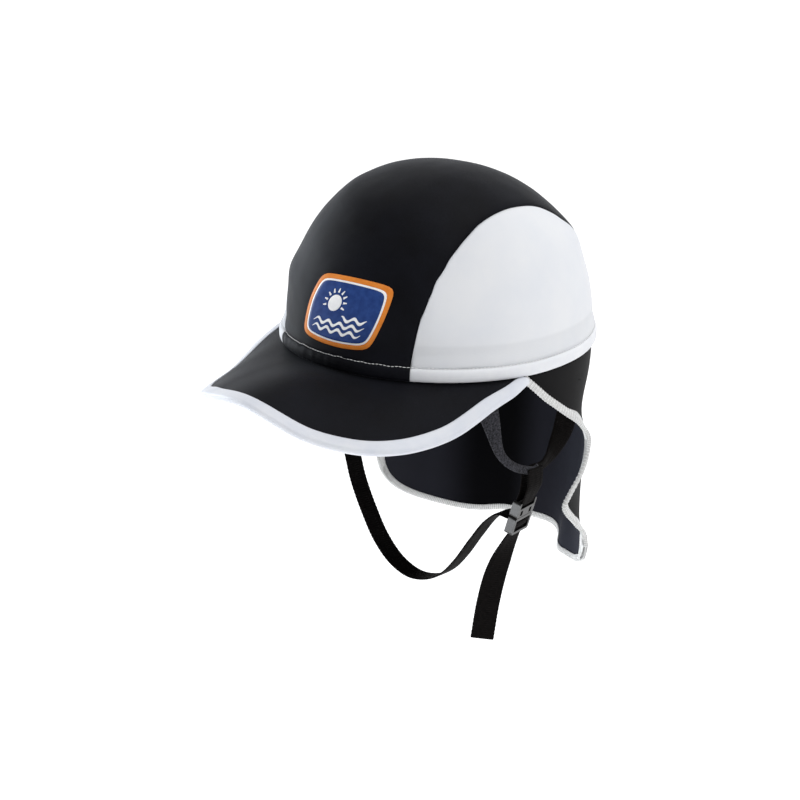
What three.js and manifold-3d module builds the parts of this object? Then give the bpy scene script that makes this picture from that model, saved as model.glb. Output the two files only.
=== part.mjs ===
// Sun flap cap for a child: a soft cloth crown of three panels with a hem band round its opening,
// a cambered brim with a bound edge, a neck flap with an overlocked edge, and a chin strap whose
// left side is a V of two webbings with a small clip. Millimetres, +Z up, the brim points along -Y,
// +X is the wearer's left, and the origin is the middle of the head opening. A turn is an angle in
// degrees about the upright axis, from the front (0) past the wearer's left ear (90) to the back.
import * as THREE from 'three';
import { mergeVertices } from 'three/addons/utils/BufferGeometryUtils.js';
import Module from 'manifold-3d';

const wasm = await Module();
wasm.setup();

const { clamp, degToRad, lerp, radToDeg } = THREE.MathUtils;

// Head opening and hem band
const OPENING_HALF_WIDTH = 73.7;
const OPENING_FRONT = 79.5;
const OPENING_BACK = 94.7;
const HEM_HEIGHT = 7;
const HEM_ROLL = 3;
const HEM_BULGE = 1.4;
const PIECE_GAP = 0.3;

// Crown
const CROWN_HEIGHT = 83.4;
const CROWN_WALL = 1.2;
const CROWN_STEP_IN = 1.5;
const PANEL_HALF_WIDTH_LOW = 39.7;
const PANEL_HALF_WIDTH_HIGH = 46.4;
const PANEL_SLIP = 15;
const APEX_FORWARD = 1.5;
const ROUNDNESS = { front: 2.0, side: 2.27, back: 1.93 };

// Badge on the front of the crown
const BADGE_WIDTH = 43.5;
const BADGE_HEIGHT = 31;
const BADGE_WALL = 0.6;
const BADGE_MIDDLE = { side: 4, height: 27.5 };
const BADGE_LEAN = 0.22;

// Brim and its binding
const BRIM_REACH = 60;
const BRIM_DROP = 21;
const BRIM_WALL = 2.4;
const BRIM_TUCK = 2.7;
const BRIM_CAMBER = 2.5;
const BINDING_WIDTH = 7.5;
const BINDING_WALL = 0.8;

// Neck flap and its overlocked edge
const FLAP_DROP = 123;
const FLAP_WALL = 1;
const FLAP_SET_IN = 0.8;
const TRIM_WIDTH = 4;
const TRIM_WALL = 0.6;
const TRIM_GAP = 0.75;

// Chin strap webbing
const WEBBING_WIDTH = 12;
const WEBBING_WALL = 1.1;
const STRAP_DEPTH = 126;
const RIGHT_STRAP_TURN = -86;
const FRONT_BRANCH_TURN = 63;
const BACK_BRANCH_TURN = 110;

// Clip on the left cheek
const CLIP_WIDTH = 16;
const CLIP_DEPTH = 4.6;
const CLIP_RAIL = 1.5;
const SOCKET_LENGTH = 8.6;
const LADDER_LENGTH = 9.6;
const BAR_RADIUS = 0.9;
const CLIP_CORNER = 1.2;
const CLIP_LEAN = 14;
const CLIP_TURN = 7;

// Faces across and down each cloth, and along each of the other pieces
const STEPS = {
  centerPanel: [10, 34],
  sidePanel: [24, 7],
  brim: [34, 5],
  flap: [30, 16],
  hemFront: 10,
  hemSide: 20,
  badge: [32, 3],
  channel: 6,
  webbing: 3,
  bar: 12,
  corner: 4,
};

// Edge of the brim: shares of its reach and drop at each turn, the drop on either side
const BRIM_ROWS = [
  { turn: -75, reach: 0.12, drop: 0.16 },
  { turn: -60, reach: 0.24, drop: 0.44 },
  { turn: -45, reach: 0.46, drop: 0.93 },
  { turn: -30, reach: 0.73, drop: 0.94 },
  { turn: -15, reach: 0.88, drop: 0.5 },
  { turn: 0, reach: 0.98, drop: 0.22 },
  { turn: 15, reach: 0.88, drop: 0.78 },
  { turn: 30, reach: 0.73, drop: 0.99 },
  { turn: 45, reach: 0.46, drop: 0.87 },
  { turn: 60, reach: 0.24, drop: 0.44 },
  { turn: 75, reach: 0.12, drop: 0.16 },
];

// Front edges of the flap: the turn of each, and how far the left one flares, at shares of the drop
const FLAP_EDGE_ROWS = [
  { down: 0.0, right: 78, left: 78, flare: 0.0 },
  { down: 0.12, right: 88, left: 91, flare: 0.0 },
  { down: 0.23, right: 96, left: 104, flare: 0.01 },
  { down: 0.31, right: 101, left: 115, flare: 0.02 },
  { down: 0.39, right: 106, left: 122.5, flare: 0.05 },
  { down: 0.46, right: 109, left: 123.5, flare: 0.05 },
  { down: 0.53, right: 111, left: 118.5, flare: 0.04 },
  { down: 0.6, right: 113, left: 110, flare: 0.015 },
  { down: 0.66, right: 114, left: 107.5, flare: 0.0 },
  { down: 0.77, right: 115, left: 117.5, flare: 0.02 },
  { down: 0.87, right: 116, left: 127.5, flare: 0.035 },
  { down: 1.05, right: 117, left: 131, flare: 0.04 },
];

// Lower edge of the flap: share of the drop from its right edge (-1) past the back (0) to the left
const FLAP_HEM_ROWS = [
  { across: -1.0, drop: 0.7 },
  { across: -0.985, drop: 0.79 },
  { across: -0.94, drop: 0.86 },
  { across: -0.87, drop: 0.91 },
  { across: -0.75, drop: 0.955 },
  { across: -0.55, drop: 0.995 },
  { across: -0.38, drop: 1.005 },
  { across: -0.18, drop: 0.985 },
  { across: 0.0, drop: 0.985 },
  { across: 0.25, drop: 0.975 },
  { across: 0.38, drop: 0.995 },
  { across: 0.5, drop: 1.02 },
  { across: 0.65, drop: 1.025 },
  { across: 0.78, drop: 1.02 },
  { across: 0.89, drop: 1.0 },
  { across: 0.96, drop: 0.98 },
  { across: 1.0, drop: 0.92 },
];

// Folds of the flap: where each is deepest, how wide it is, and its push outwards in shares of
// the half width of the opening
const FLAP_FOLDS = [
  { turn: 140, down: 0.27, wide: 16, tall: 0.1, push: -0.075 },
  { turn: 178, down: 0.55, wide: 20, tall: 0.4, push: 0.03 },
  { turn: 212, down: 0.7, wide: 13, tall: 0.35, push: -0.03 },
  { turn: 148, down: 1.05, wide: 8, tall: 0.3, push: -0.08 },
];

// Dents and swellings of the crown, in shares of the half width of the opening
const CROWN_FOLDS = [
  { turn: -48, share: 0.78, wide: 30, tall: 0.1, push: 0.02 },
  { turn: -20, share: 0.38, wide: 35, tall: 0.1, push: 0.025 },
  { turn: 130, share: 0.62, wide: 32, tall: 0.08, push: 0.022 },
];

// Chin strap from the right ear to the clip: shares of the half width, front length and depth
const CHIN_ROWS = [
  { side: -0.885, front: 0.085, down: 0.12 },
  { side: -0.74, front: 0.1, down: 0.34 },
  { side: -0.58, front: 0.113, down: 0.555 },
  { side: -0.51, front: 0.113, down: 0.665 },
  { side: -0.39, front: 0.113, down: 0.79 },
  { side: -0.267, front: 0.113, down: 0.89 },
  { side: -0.12, front: 0.107, down: 0.965 },
  { side: 0.045, front: 0.1, down: 0.998 },
  { side: 0.2, front: 0.09, down: 0.983 },
  { side: 0.32, front: 0.082, down: 0.938 },
  { side: 0.42, front: 0.07, down: 0.865 },
  { side: 0.53, front: 0.058, down: 0.76 },
  { side: 0.64, front: 0.046, down: 0.665 },
  { side: 0.73, front: 0.036, down: 0.622 },
];

// Free tail below the clip, with the angle that its face has turned from the clip's own
const TAIL_ROWS = [
  { side: 0.78, front: 0.035, down: 0.755, twist: 18 },
  { side: 0.742, front: 0.048, down: 0.825, twist: 34 },
  { side: 0.712, front: 0.065, down: 0.905, twist: 45 },
  { side: 0.692, front: 0.09, down: 1.02, twist: 50 },
  { side: 0.682, front: 0.115, down: 1.165, twist: 52 },
];

// The two branches of the V from the hem to their join
const FRONT_BRANCH_ROWS = [
  { side: 0.822, front: 0.4, down: 0.1 },
  { side: 0.846, front: 0.36, down: 0.19 },
  { side: 0.88, front: 0.3, down: 0.312 },
  { side: 0.903, front: 0.238, down: 0.358 },
  { side: 0.925, front: 0.163, down: 0.388 },
  { side: 0.947, front: 0.088, down: 0.404 },
];
const BACK_BRANCH_ROWS = [
  { side: 0.868, front: -0.39, down: 0.12 },
  { side: 0.87, front: -0.392, down: 0.22 },
  { side: 0.875, front: -0.36, down: 0.3 },
  { side: 0.882, front: -0.27, down: 0.37 },
  { side: 0.908, front: -0.17, down: 0.4 },
  { side: 0.928, front: -0.09, down: 0.41 },
];
const JOIN = { side: 0.947, front: 0.025, down: 0.413 };
const CLIP_PLACE = { side: 0.868, front: 0.025, down: 0.607 };

const WELD = 1e-3;
const LAYER = WEBBING_WALL + PIECE_GAP;

// Reads a column of a table at a value between its rows, on a smooth curve through them
function readRows(rows, by, column, value) {
  const last = rows.length - 1;
  let k = 0;
  while (k < last - 1 && value > rows[k + 1][by]) k += 1;
  const span = rows[k + 1][by] - rows[k][by];
  const share = clamp((value - rows[k][by]) / span, 0, 1);
  const slopeAt = (row) => {
    const before = rows[Math.max(row - 1, 0)];
    const after = rows[Math.min(row + 1, last)];
    return (after[column] - before[column]) / (after[by] - before[by]);
  };
  const square = share * share;
  const cube = square * share;
  return (2 * cube - 3 * square + 1) * rows[k][column]
    + (cube - 2 * square + share) * span * slopeAt(k)
    + (3 * square - 2 * cube) * rows[k + 1][column]
    + (cube - square) * span * slopeAt(k + 1);
}

// Soft hill with its top at 0, one at its middle and nearly nothing past two widths
function hill(distance, width) {
  return Math.exp(-((distance / width) ** 2));
}

// Six times the volume inside a mesh, negative if its faces point inwards
function insideSize(geometry) {
  const index = geometry.getIndex().array;
  const position = geometry.getAttribute('position');
  const corner = (k) => new THREE.Vector3().fromBufferAttribute(position, index[k]);
  let sum = 0;
  for (let k = 0; k < index.length; k += 3) {
    sum += corner(k).dot(corner(k + 1).cross(corner(k + 2)));
  }
  return sum;
}

// Closed body from points and faces: equal points are joined, faces that shrink away are dropped
function bodyFrom(points, faces) {
  const position = new Float32Array(points.flatMap((p) => [p.x, p.y, p.z]));
  const loose = new THREE.BufferGeometry();
  loose.setAttribute('position', new THREE.BufferAttribute(position, 3));
  loose.setIndex(faces.flat());
  const geometry = mergeVertices(loose, WELD);
  const index = geometry.getIndex().array;
  const kept = [];
  for (let k = 0; k < index.length; k += 3) {
    const [a, b, c] = index.slice(k, k + 3);
    if (a !== b && b !== c && a !== c) kept.push(a, b, c);
  }
  geometry.setIndex(kept);
  if (insideSize(geometry) < 0) geometry.setIndex(kept.reverse());
  geometry.computeVertexNormals();
  return geometry;
}

// Direction square to a surface at(a, d), taken a little inside its borders
function squareTo(at, a, d) {
  const border = 0.005;
  const reach = 0.004;
  const ca = clamp(a, border, 1 - border);
  const cd = clamp(d, border, 1 - border);
  const along = at(ca + reach, cd).sub(at(ca - reach, cd));
  const down = at(ca, cd + reach).sub(at(ca, cd - reach));
  return along.cross(down).normalize();
}

// Inner face of a wall of even thickness whose outer face is at(a, d)
function behindBy(at, thickness) {
  return (a, d) => at(a, d).addScaledVector(squareTo(at, a, d), -thickness);
}

// Wall between an outer and an inner face, each a place for shares a across and d down
function wallBody(outerAt, innerAt, acrossSteps, downSteps, ring = false) {
  const outer = [];
  const inner = [];
  for (let j = 0; j <= downSteps; j += 1) {
    for (let i = 0; i <= acrossSteps; i += 1) {
      const [a, d] = [i / acrossSteps, j / downSteps];
      outer.push(outerAt(a, d));
      inner.push(innerAt(a, d));
    }
  }
  const row = acrossSteps + 1;
  const count = outer.length;
  const faces = [];
  const quad = (p, q, r, s) => faces.push([p, q, r], [p, r, s]);
  for (let j = 0; j < downSteps; j += 1) {
    for (let i = 0; i < acrossSteps; i += 1) {
      const k = j * row + i;
      quad(k, k + 1, k + row + 1, k + row);
      quad(count + k, count + k + row, count + k + row + 1, count + k + 1);
    }
  }
  for (let i = 0; i < acrossSteps; i += 1) {
    const low = downSteps * row + i;
    quad(i, count + i, count + i + 1, i + 1);
    quad(low, low + 1, count + low + 1, count + low);
  }
  for (let j = 0; j < downSteps && !ring; j += 1) {
    const left = j * row;
    const right = left + acrossSteps;
    quad(left, left + row, count + left + row, count + left);
    quad(right, count + right, count + right + row, right + row);
  }
  return bodyFrom([...outer, ...inner], faces);
}

// Solid through a row of equal closed outlines, with a flat end at each end
function sweptBody(outlines) {
  const size = outlines[0].length;
  const faces = [];
  for (let k = 0; k < outlines.length - 1; k += 1) {
    for (let m = 0; m < size; m += 1) {
      const [p, q] = [k * size + m, k * size + (m + 1) % size];
      faces.push([p, q, q + size], [p, q + size, p + size]);
    }
  }
  const far = (outlines.length - 1) * size;
  for (let m = 1; m < size - 1; m += 1) {
    faces.push([0, m + 1, m], [far, far + m, far + m + 1]);
  }
  return bodyFrom(outlines.flat(), faces);
}

function mirrored(geometry) {
  const copy = geometry.clone();
  copy.scale(-1, 1, 1);
  copy.setIndex([...copy.getIndex().array].reverse());
  copy.computeVertexNormals();
  return copy;
}

// Plan of the head opening at a turn, drawn in by a distance
function openingPoint(turn, drawnIn, height) {
  const angle = degToRad(turn);
  const length = Math.cos(angle) > 0 ? OPENING_FRONT : OPENING_BACK;
  const x = (OPENING_HALF_WIDTH - drawnIn) * Math.sin(angle);
  const y = -(length - drawnIn) * Math.cos(angle);
  return new THREE.Vector3(x, y, height);
}

// Crown surface at a turn and a share of the way from its top (0) to the hem (1)
const CROWN_BASE = HEM_HEIGHT + PIECE_GAP;

function crownPoint(turn, share) {
  const angle = degToRad(turn);
  const front = Math.max(Math.cos(angle), 0) ** 2;
  const back = Math.max(-Math.cos(angle), 0) ** 2;
  const side = Math.sin(angle) ** 2;
  const power = front * ROUNDNESS.front + back * ROUNDNESS.back + side * ROUNDNESS.side;
  const lift = share * Math.PI / 2;
  let out = Math.sin(lift) ** (2 / power);
  const rise = Math.max(Math.cos(lift), 0) ** (2 / power);
  const rim = openingPoint(turn, CROWN_STEP_IN, 0);
  for (const fold of CROWN_FOLDS) {
    const away = Math.abs((turn - fold.turn + 540) % 360 - 180);
    out += fold.push * hill(away, fold.wide) * hill(share - fold.share, fold.tall);
  }
  return new THREE.Vector3(
    rim.x * out,
    rim.y * out - APEX_FORWARD * rise,
    CROWN_BASE + CROWN_HEIGHT * rise,
  );
}

// Half width of the centre panel at a point's height, on its left (1) or its right (-1). The
// stretched cloth has slipped over to the right above the hem
const LEFT = 1;
const RIGHT = -1;

function panelHalfWidth(point, side) {
  const rise = clamp((point.z - CROWN_BASE) / CROWN_HEIGHT, 0, 1);
  const slip = side === RIGHT ? PANEL_SLIP * Math.sqrt(Math.sin(Math.PI * rise)) : 0;
  return lerp(PANEL_HALF_WIDTH_LOW, PANEL_HALF_WIDTH_HIGH, rise) + slip;
}

// Share from 0 to 1 at which a row of crown points passes the seam, found by halving
const HALVINGS = 30;

function shareAtSeam(pointAt, side, clearance) {
  let [low, high] = [0, 1];
  for (let k = 0; k < HALVINGS; k += 1) {
    const middle = (low + high) / 2;
    const point = pointAt(middle);
    if (side * point.x < panelHalfWidth(point, side) + clearance) low = middle;
    else high = middle;
  }
  return high;
}

// Side panel, from its seam down to the hem; it narrows to a point at the front and the back
const SEAM_CLEARANCE = PIECE_GAP / 2;
const SIDE_RIM = OPENING_HALF_WIDTH - CROWN_STEP_IN;
const SIDE_START = radToDeg(Math.asin((PANEL_HALF_WIDTH_LOW + SEAM_CLEARANCE) / SIDE_RIM));

const sidePanelPoint = (side) => (a, d) => {
  const turn = side * 90 + lerp(90 - SIDE_START, SIDE_START - 90, a);
  const seam = shareAtSeam((share) => crownPoint(turn, share), side, SEAM_CLEARANCE);
  return crownPoint(turn, lerp(seam, 1, d));
};

// Centre panel: a strip over the head, laid out on a disc whose rim is the hem
function discPoint(across, lengthways) {
  const back = lengthways * Math.sqrt(1 - across ** 2);
  const turn = radToDeg(Math.atan2(across, -back));
  return crownPoint(turn, Math.hypot(across, back));
}

function centerPanelPoint(a, d) {
  const lengthways = lerp(-1, 1, d);
  const [right, left] = [RIGHT, LEFT].map((side) => (
    shareAtSeam((across) => discPoint(side * across, lengthways), side, -SEAM_CLEARANCE)
  ));
  return discPoint(lerp(-right, left, a), lengthways);
}

// Hem band: a rolled strip of cloth round the opening, one length under each panel
const HEM_PROFILE = [
  { out: -1, up: 0.1 },
  { out: -0.6, up: 0 },
  { out: 0.1, up: 0.02 },
  { out: 0.75, up: 0.25 },
  { out: 1, up: 0.5 },
  { out: 0.75, up: 0.78 },
  { out: 0.1, up: 0.98 },
  { out: -0.6, up: 1 },
  { out: -1, up: 0.9 },
];

function hemBand(startTurn, endTurn, steps) {
  const outlines = [];
  for (let k = 0; k <= steps; k += 1) {
    const turn = lerp(startTurn, endTurn, k / steps);
    outlines.push(HEM_PROFILE.map(({ out, up }) => {
      const drawnIn = out < 0 ? -out * HEM_ROLL : -out * HEM_BULGE;
      return openingPoint(turn, drawnIn, up * HEM_HEIGHT);
    }));
  }
  return sweptBody(outlines);
}

// Brim: from under the hem out to its edge, rounded up between them
const BINDING_HALF = BRIM_WALL / 2 + PIECE_GAP + BINDING_WALL;
const BRIM_CURL = 1.25;

const brimTurn = (a) => lerp(BRIM_ROWS[BRIM_ROWS.length - 1].turn, BRIM_ROWS[0].turn, a);
const brimReach = (turn) => readRows(BRIM_ROWS, 'turn', 'reach', turn) * BRIM_REACH;

function brimPoint(a, d) {
  const turn = brimTurn(a);
  const reach = brimReach(turn) - BINDING_HALF;
  const drop = readRows(BRIM_ROWS, 'turn', 'drop', turn) * BRIM_DROP;
  const drawnIn = lerp(BRIM_TUCK, -reach, d);
  const camber = BRIM_CAMBER * Math.sin(Math.PI * d) * reach / BRIM_REACH;
  return openingPoint(turn, drawnIn, -PIECE_GAP - drop * d ** BRIM_CURL + camber);
}

// Neck flap, from its right front edge (0) round the back to the left one (1)
const TRIM_HALF = FLAP_WALL / 2 + TRIM_GAP + TRIM_WALL;
const EDGE_POWER = 3;
const FLARE_POWER = 6;

function flapPoint(a, d) {
  const across = 2 * a - 1;
  const down = d * readRows(FLAP_HEM_ROWS, 'across', 'drop', across);
  const side = across > 0 ? 'left' : 'right';
  const plainEdge = readRows(FLAP_EDGE_ROWS, 'down', 'right', down);
  const edge = readRows(FLAP_EDGE_ROWS, 'down', side, down);
  const nearEdge = Math.abs(across) ** EDGE_POWER;
  const turn = 180 - across * (180 - lerp(plainEdge, edge, nearEdge));
  const flare = across > 0 ? readRows(FLAP_EDGE_ROWS, 'down', 'flare', down) : 0;
  let push = flare * across ** FLARE_POWER;
  for (const fold of FLAP_FOLDS) {
    push += fold.push * hill(turn - fold.turn, fold.wide) * hill(down - fold.down, fold.tall);
  }
  const drawnIn = FLAP_SET_IN - push * OPENING_HALF_WIDTH;
  return openingPoint(turn, drawnIn, -PIECE_GAP - down * (FLAP_DROP - TRIM_HALF));
}

// Channel folded over the edge of a cloth: both legs follow the cloth with a small gap. The edge
// is a run of places (a, d) of the cloth, and its width that of a leg at a share of the run
const LEG_SHARE = 1 / 3;

function channelBody({ at, wall, edge, width, gap, channelWall, steps }) {
  const layer = (lift) => (share, d) => {
    const { place, inward, step } = edgeFrame(at, edge, share);
    const round = clamp((d - LEG_SHARE) / (1 - 2 * LEG_SHARE), 0, 1) * Math.PI;
    const leg = Math.max(LEG_SHARE - d, d - (1 - LEG_SHARE), 0) / LEG_SHARE;
    const [a, c] = [0, 1].map((k) => place[k] + step[k] * width(share) * leg);
    const normal = squareTo(at, a, c);
    return at(a, c)
      .addScaledVector(inward, -lift * Math.sin(round))
      .addScaledVector(normal, -wall / 2 - lift * Math.cos(round));
  };
  const inner = wall / 2 + gap;
  return wallBody(layer(inner + channelWall), layer(inner), steps, STEPS.channel);
}

// Place on the edge of a cloth, the way in from it, and the step of a and d for one millimetre
function edgeFrame(at, edge, share) {
  const reach = 0.004;
  const place = edge(share);
  const [a, d] = place.map((value) => clamp(value, reach, 1 - reach));
  const alongA = at(a + reach, d).sub(at(a - reach, d)).divideScalar(2 * reach);
  const alongD = at(a, d + reach).sub(at(a, d - reach)).divideScalar(2 * reach);
  const after = at(...edge(Math.min(share + reach, 1)));
  const along = after.sub(at(...edge(Math.max(share - reach, 0)))).normalize();
  const inward = squareTo(at, ...place).cross(along).normalize();
  const [aa, ad, dd] = [alongA.dot(alongA), alongA.dot(alongD), alongD.dot(alongD)];
  const [ia, id] = [alongA.dot(inward), alongD.dot(inward)];
  const size = aa * dd - ad * ad;
  const step = [(ia * dd - id * ad) / size, (id * aa - ia * ad) / size];
  return { place, inward, step };
}

// The binding gets narrower at the ears, where the brim does
const BINDING_HOLD = 0.72;
const brimEdge = (share) => [1 - share, 1];
const bindingWidth = (share) => (
  Math.min(BINDING_WIDTH, BINDING_HOLD * brimReach(brimTurn(1 - share))) - BINDING_HALF
);

// Free edge of the flap: down the left front, along the bottom to the right, and up again
const FRONT_STEPS = STEPS.flap[1] - 1;
const TRIM_STEPS = STEPS.flap[0] + 2 * FRONT_STEPS;
const FRONT_SHARE = FRONT_STEPS / TRIM_STEPS;
const TRIM_START = (TRIM_WIDTH - TRIM_WALL) / FLAP_DROP;

function flapEdge(share) {
  const across = 1 - clamp((share - FRONT_SHARE) / (1 - 2 * FRONT_SHARE), 0, 1);
  const front = Math.min(share / FRONT_SHARE, (1 - share) / FRONT_SHARE, 1);
  return [flapColumn(across), lerp(TRIM_START, 1, front)];
}

// The flap's columns crowd at its front edges, and its first row ends where the trim starts
const flapColumn = (a) => (1 + Math.sin((a - 0.5) * Math.PI)) / 2;
const flapRow = (d) => (
  Math.max(lerp(TRIM_START, 1, (d * STEPS.flap[1] - 1) / FRONT_STEPS), 0)
);

// Badge: a thin patch that follows the front of the crown, rounder than a rectangle
const BADGE_SQUARENESS = 3.4;

function badgePoint(a, d, lift) {
  const angle = a * 2 * Math.PI;
  const [c, s] = [Math.cos(angle), Math.sin(angle)];
  const sum = Math.abs(c) ** BADGE_SQUARENESS + Math.abs(s) ** BADGE_SQUARENESS;
  const edge = sum ** (-1 / BADGE_SQUARENESS);
  const up = s * edge * d * BADGE_HEIGHT / 2;
  const x = BADGE_MIDDLE.side + c * edge * d * BADGE_WIDTH / 2 + BADGE_LEAN * up;
  const z = BADGE_MIDDLE.height + up;
  const on = frontPoint(x, z);
  const reach = 0.5;
  const across = frontPoint(x + reach, z).sub(frontPoint(x - reach, z));
  const upwards = frontPoint(x, z + reach).sub(frontPoint(x, z - reach));
  return on.addScaledVector(across.cross(upwards).normalize(), lift);
}

// Point of the crown's front at a distance to the left and a height, found by halving
function frontPoint(x, height) {
  let [low, high] = [0, 1];
  let point = new THREE.Vector3();
  for (let k = 0; k < HALVINGS; k += 1) {
    const share = (low + high) / 2;
    const rim = SIDE_RIM * Math.sin(share * Math.PI / 2);
    const turn = radToDeg(Math.asin(clamp(x / rim, -1, 1)));
    point = crownPoint(turn, share);
    if (point.z > height) low = share;
    else high = share;
  }
  return point;
}

// Place named by shares of the opening's half width, its front length and the strap's depth
function strapPlace({ side, front, down }) {
  return new THREE.Vector3(
    side * OPENING_HALF_WIDTH,
    -front * OPENING_FRONT,
    -down * STRAP_DEPTH,
  );
}

// Frame of the clip: x out from the cheek, y across the webbing, z up along it
const CLIP_FRAME = new THREE.Matrix4()
  .makeRotationFromEuler(new THREE.Euler(0, degToRad(CLIP_LEAN), degToRad(CLIP_TURN), 'ZYX'))
  .setPosition(strapPlace(CLIP_PLACE));
const clipPlace = (x, z) => new THREE.Vector3(x, 0, z).applyMatrix4(CLIP_FRAME);
const CLIP_SIDE = new THREE.Vector3(0, 1, 0).transformDirection(CLIP_FRAME);

// Flat webbing along a row of places, each with the way across it
function webbing(places) {
  const curve = new THREE.CatmullRomCurve3(places.map(({ at }) => at), false, 'centripetal');
  const outlines = [];
  const spans = places.length - 1;
  for (let k = 0; k <= spans * STEPS.webbing; k += 1) {
    const share = k / (spans * STEPS.webbing);
    const before = Math.min(Math.floor(k / STEPS.webbing), spans - 1);
    const along = curve.getTangent(share);
    const across = places[before].across.clone()
      .lerp(places[before + 1].across, k / STEPS.webbing - before);
    const face = new THREE.Vector3().crossVectors(along, across).normalize();
    const side = new THREE.Vector3().crossVectors(face, along).normalize();
    const corner = (s, f) => curve.getPoint(share)
      .addScaledVector(side, s * WEBBING_WIDTH / 2)
      .addScaledVector(face, f * WEBBING_WALL / 2);
    outlines.push([corner(-1, -1), corner(1, -1), corner(1, 1), corner(-1, 1)]);
  }
  return sweptBody(outlines);
}

// Two places inside the hem band where a webbing is sewn on, clear of it at its flat width
const CHORD_SAG = (WEBBING_WIDTH / 2) ** 2 / OPENING_HALF_WIDTH;
const ANCHOR_HEIGHTS = [0.7 * HEM_HEIGHT, -0.6 * HEM_HEIGHT];

function hemAnchor(turn) {
  const drawnIn = HEM_ROLL + PIECE_GAP + CHORD_SAG + WEBBING_WALL / 2;
  const across = openingPoint(turn + 1, drawnIn, 0).sub(openingPoint(turn - 1, drawnIn, 0));
  return ANCHOR_HEIGHTS.map((z) => ({
    at: openingPoint(turn, drawnIn, z),
    across: across.clone(),
  }));
}

const UPRIGHT = new THREE.Vector3(0, 0, 1);
const BACKWARD = new THREE.Vector3(0, 1, 0);

// Way across a webbing that lies flat on the cheek: square to its run, in the cheek's plane
function acrossCheek(rows, k, startAcross) {
  const before = strapPlace(rows[Math.max(k - 1, 0)]);
  const after = strapPlace(rows[Math.min(k + 1, rows.length - 1)]);
  const along = after.sub(before).normalize();
  const ease = k / (rows.length - 1);
  const out = new THREE.Vector3().crossVectors(startAcross, UPRIGHT).normalize()
    .lerp(new THREE.Vector3(1, 0, 0), ease);
  return new THREE.Vector3().crossVectors(along, out).normalize();
}

// Branch of the V: from the hem to the join, where the layers lie on each other
function branch(turn, rows, layersIn, past) {
  const anchor = hemAnchor(turn);
  const middle = rows.map((row, k) => ({
    at: strapPlace(row),
    across: acrossCheek(rows, k, anchor[1].across),
  }));
  const join = strapPlace(JOIN);
  join.x -= layersIn * LAYER;
  const across = middle[middle.length - 1].across;
  const end = join.clone().add(past);
  return webbing([...anchor, ...middle, { at: join, across }, { at: end, across }]);
}

// Round a bar of the clip, from the side that faces out over its free side to the one facing in
const WRAP_RADIUS = BAR_RADIUS + PIECE_GAP + WEBBING_WALL / 2;
const SOCKET_BAR = SOCKET_LENGTH - BAR_RADIUS;
const LADDER_SHARES = { bar: 0.46, slotEnd: 0.85, tail: 0.92 };
const LADDER_BAR = -LADDER_LENGTH * LADDER_SHARES.bar;
const LOOP_WRAP = { from: 20, to: -200, count: 7 };
const LADDER_WRAP = { from: 115, to: -25, count: 5 };

function roundBar(barHeight, { from, to, count }) {
  return Array.from({ length: count }, (_, k) => {
    const angle = degToRad(lerp(from, to, k / (count - 1)));
    const at = clipPlace(WRAP_RADIUS * Math.cos(angle), barHeight + WRAP_RADIUS * Math.sin(angle));
    return { at, across: CLIP_SIDE };
  });
}

// Loop of webbing from the join down round the socket's bar and back
function loopWebbing() {
  const rise = new THREE.Vector3(0, 0, WEBBING_WIDTH / 3);
  const top = (layersIn) => {
    const at = strapPlace(JOIN).add(rise);
    at.x -= layersIn * LAYER;
    return { at, across: BACKWARD };
  };
  const low = (layersIn) => {
    const place = top(layersIn);
    place.at.z -= WEBBING_WIDTH;
    return place;
  };
  const round = roundBar(SOCKET_BAR, LOOP_WRAP);
  return webbing([top(-1), low(-1), ...round, low(2), top(2)]);
}

// Chin strap: right ear, under the chin, through the clip's ladder and down as a free tail; the
// shares say where it comes to the ladder's bar and leaves it, of the radius round that bar
const COMING_RISE = 0.75;
const LEAVING = { out: 0.55, fall: 1.35 };

function chinWebbing() {
  const chin = CHIN_ROWS.map((row) => ({ at: strapPlace(row), across: BACKWARD }));
  const ladderPlace = (x, z) => ({ at: clipPlace(x, z), across: CLIP_SIDE });
  const coming = ladderPlace(-CLIP_DEPTH, LADDER_BAR + WRAP_RADIUS * COMING_RISE);
  const round = roundBar(LADDER_BAR, LADDER_WRAP);
  const tailOut = LADDER_BAR_FRONT - PIECE_GAP - WEBBING_WALL / 2;
  const through = [
    ladderPlace(WRAP_RADIUS * LEAVING.out, LADDER_BAR - WRAP_RADIUS * LEAVING.fall),
    ladderPlace(tailOut, -LADDER_LENGTH * LADDER_SHARES.tail),
  ];
  const tail = TAIL_ROWS.map((row) => ({
    at: strapPlace(row),
    across: CLIP_SIDE.clone().applyAxisAngle(UPRIGHT, -degToRad(row.twist)),
  }));
  return webbing([...hemAnchor(RIGHT_STRAP_TURN), ...chin, coming, ...round, ...through, ...tail]);
}

// Solid for joining and cutting, from a geometry in place
function solidOf(geometry) {
  const bare = geometry.clone();
  bare.deleteAttribute('normal');
  bare.deleteAttribute('uv');
  const joined = mergeVertices(bare, WELD);
  return new wasm.Manifold(new wasm.Mesh({
    numProp: 3,
    vertProperties: new Float32Array(joined.getAttribute('position').array),
    triVerts: new Uint32Array(joined.getIndex().array),
  }));
}

function geometryOf(solid) {
  const mesh = solid.getMesh();
  const geometry = new THREE.BufferGeometry();
  geometry.setAttribute('position', new THREE.BufferAttribute(mesh.vertProperties, 3));
  geometry.setIndex(new THREE.BufferAttribute(mesh.triVerts, 1));
  geometry.computeVertexNormals();
  return geometry;
}

// Block in the clip's frame between the ends of three ranges
function block([x0, x1], [y0, y1], [z0, z1]) {
  const shape = new THREE.BoxGeometry(x1 - x0, y1 - y0, z1 - z0);
  shape.translate((x0 + x1) / 2, (y0 + y1) / 2, (z0 + z1) / 2);
  return solidOf(shape);
}

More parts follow.
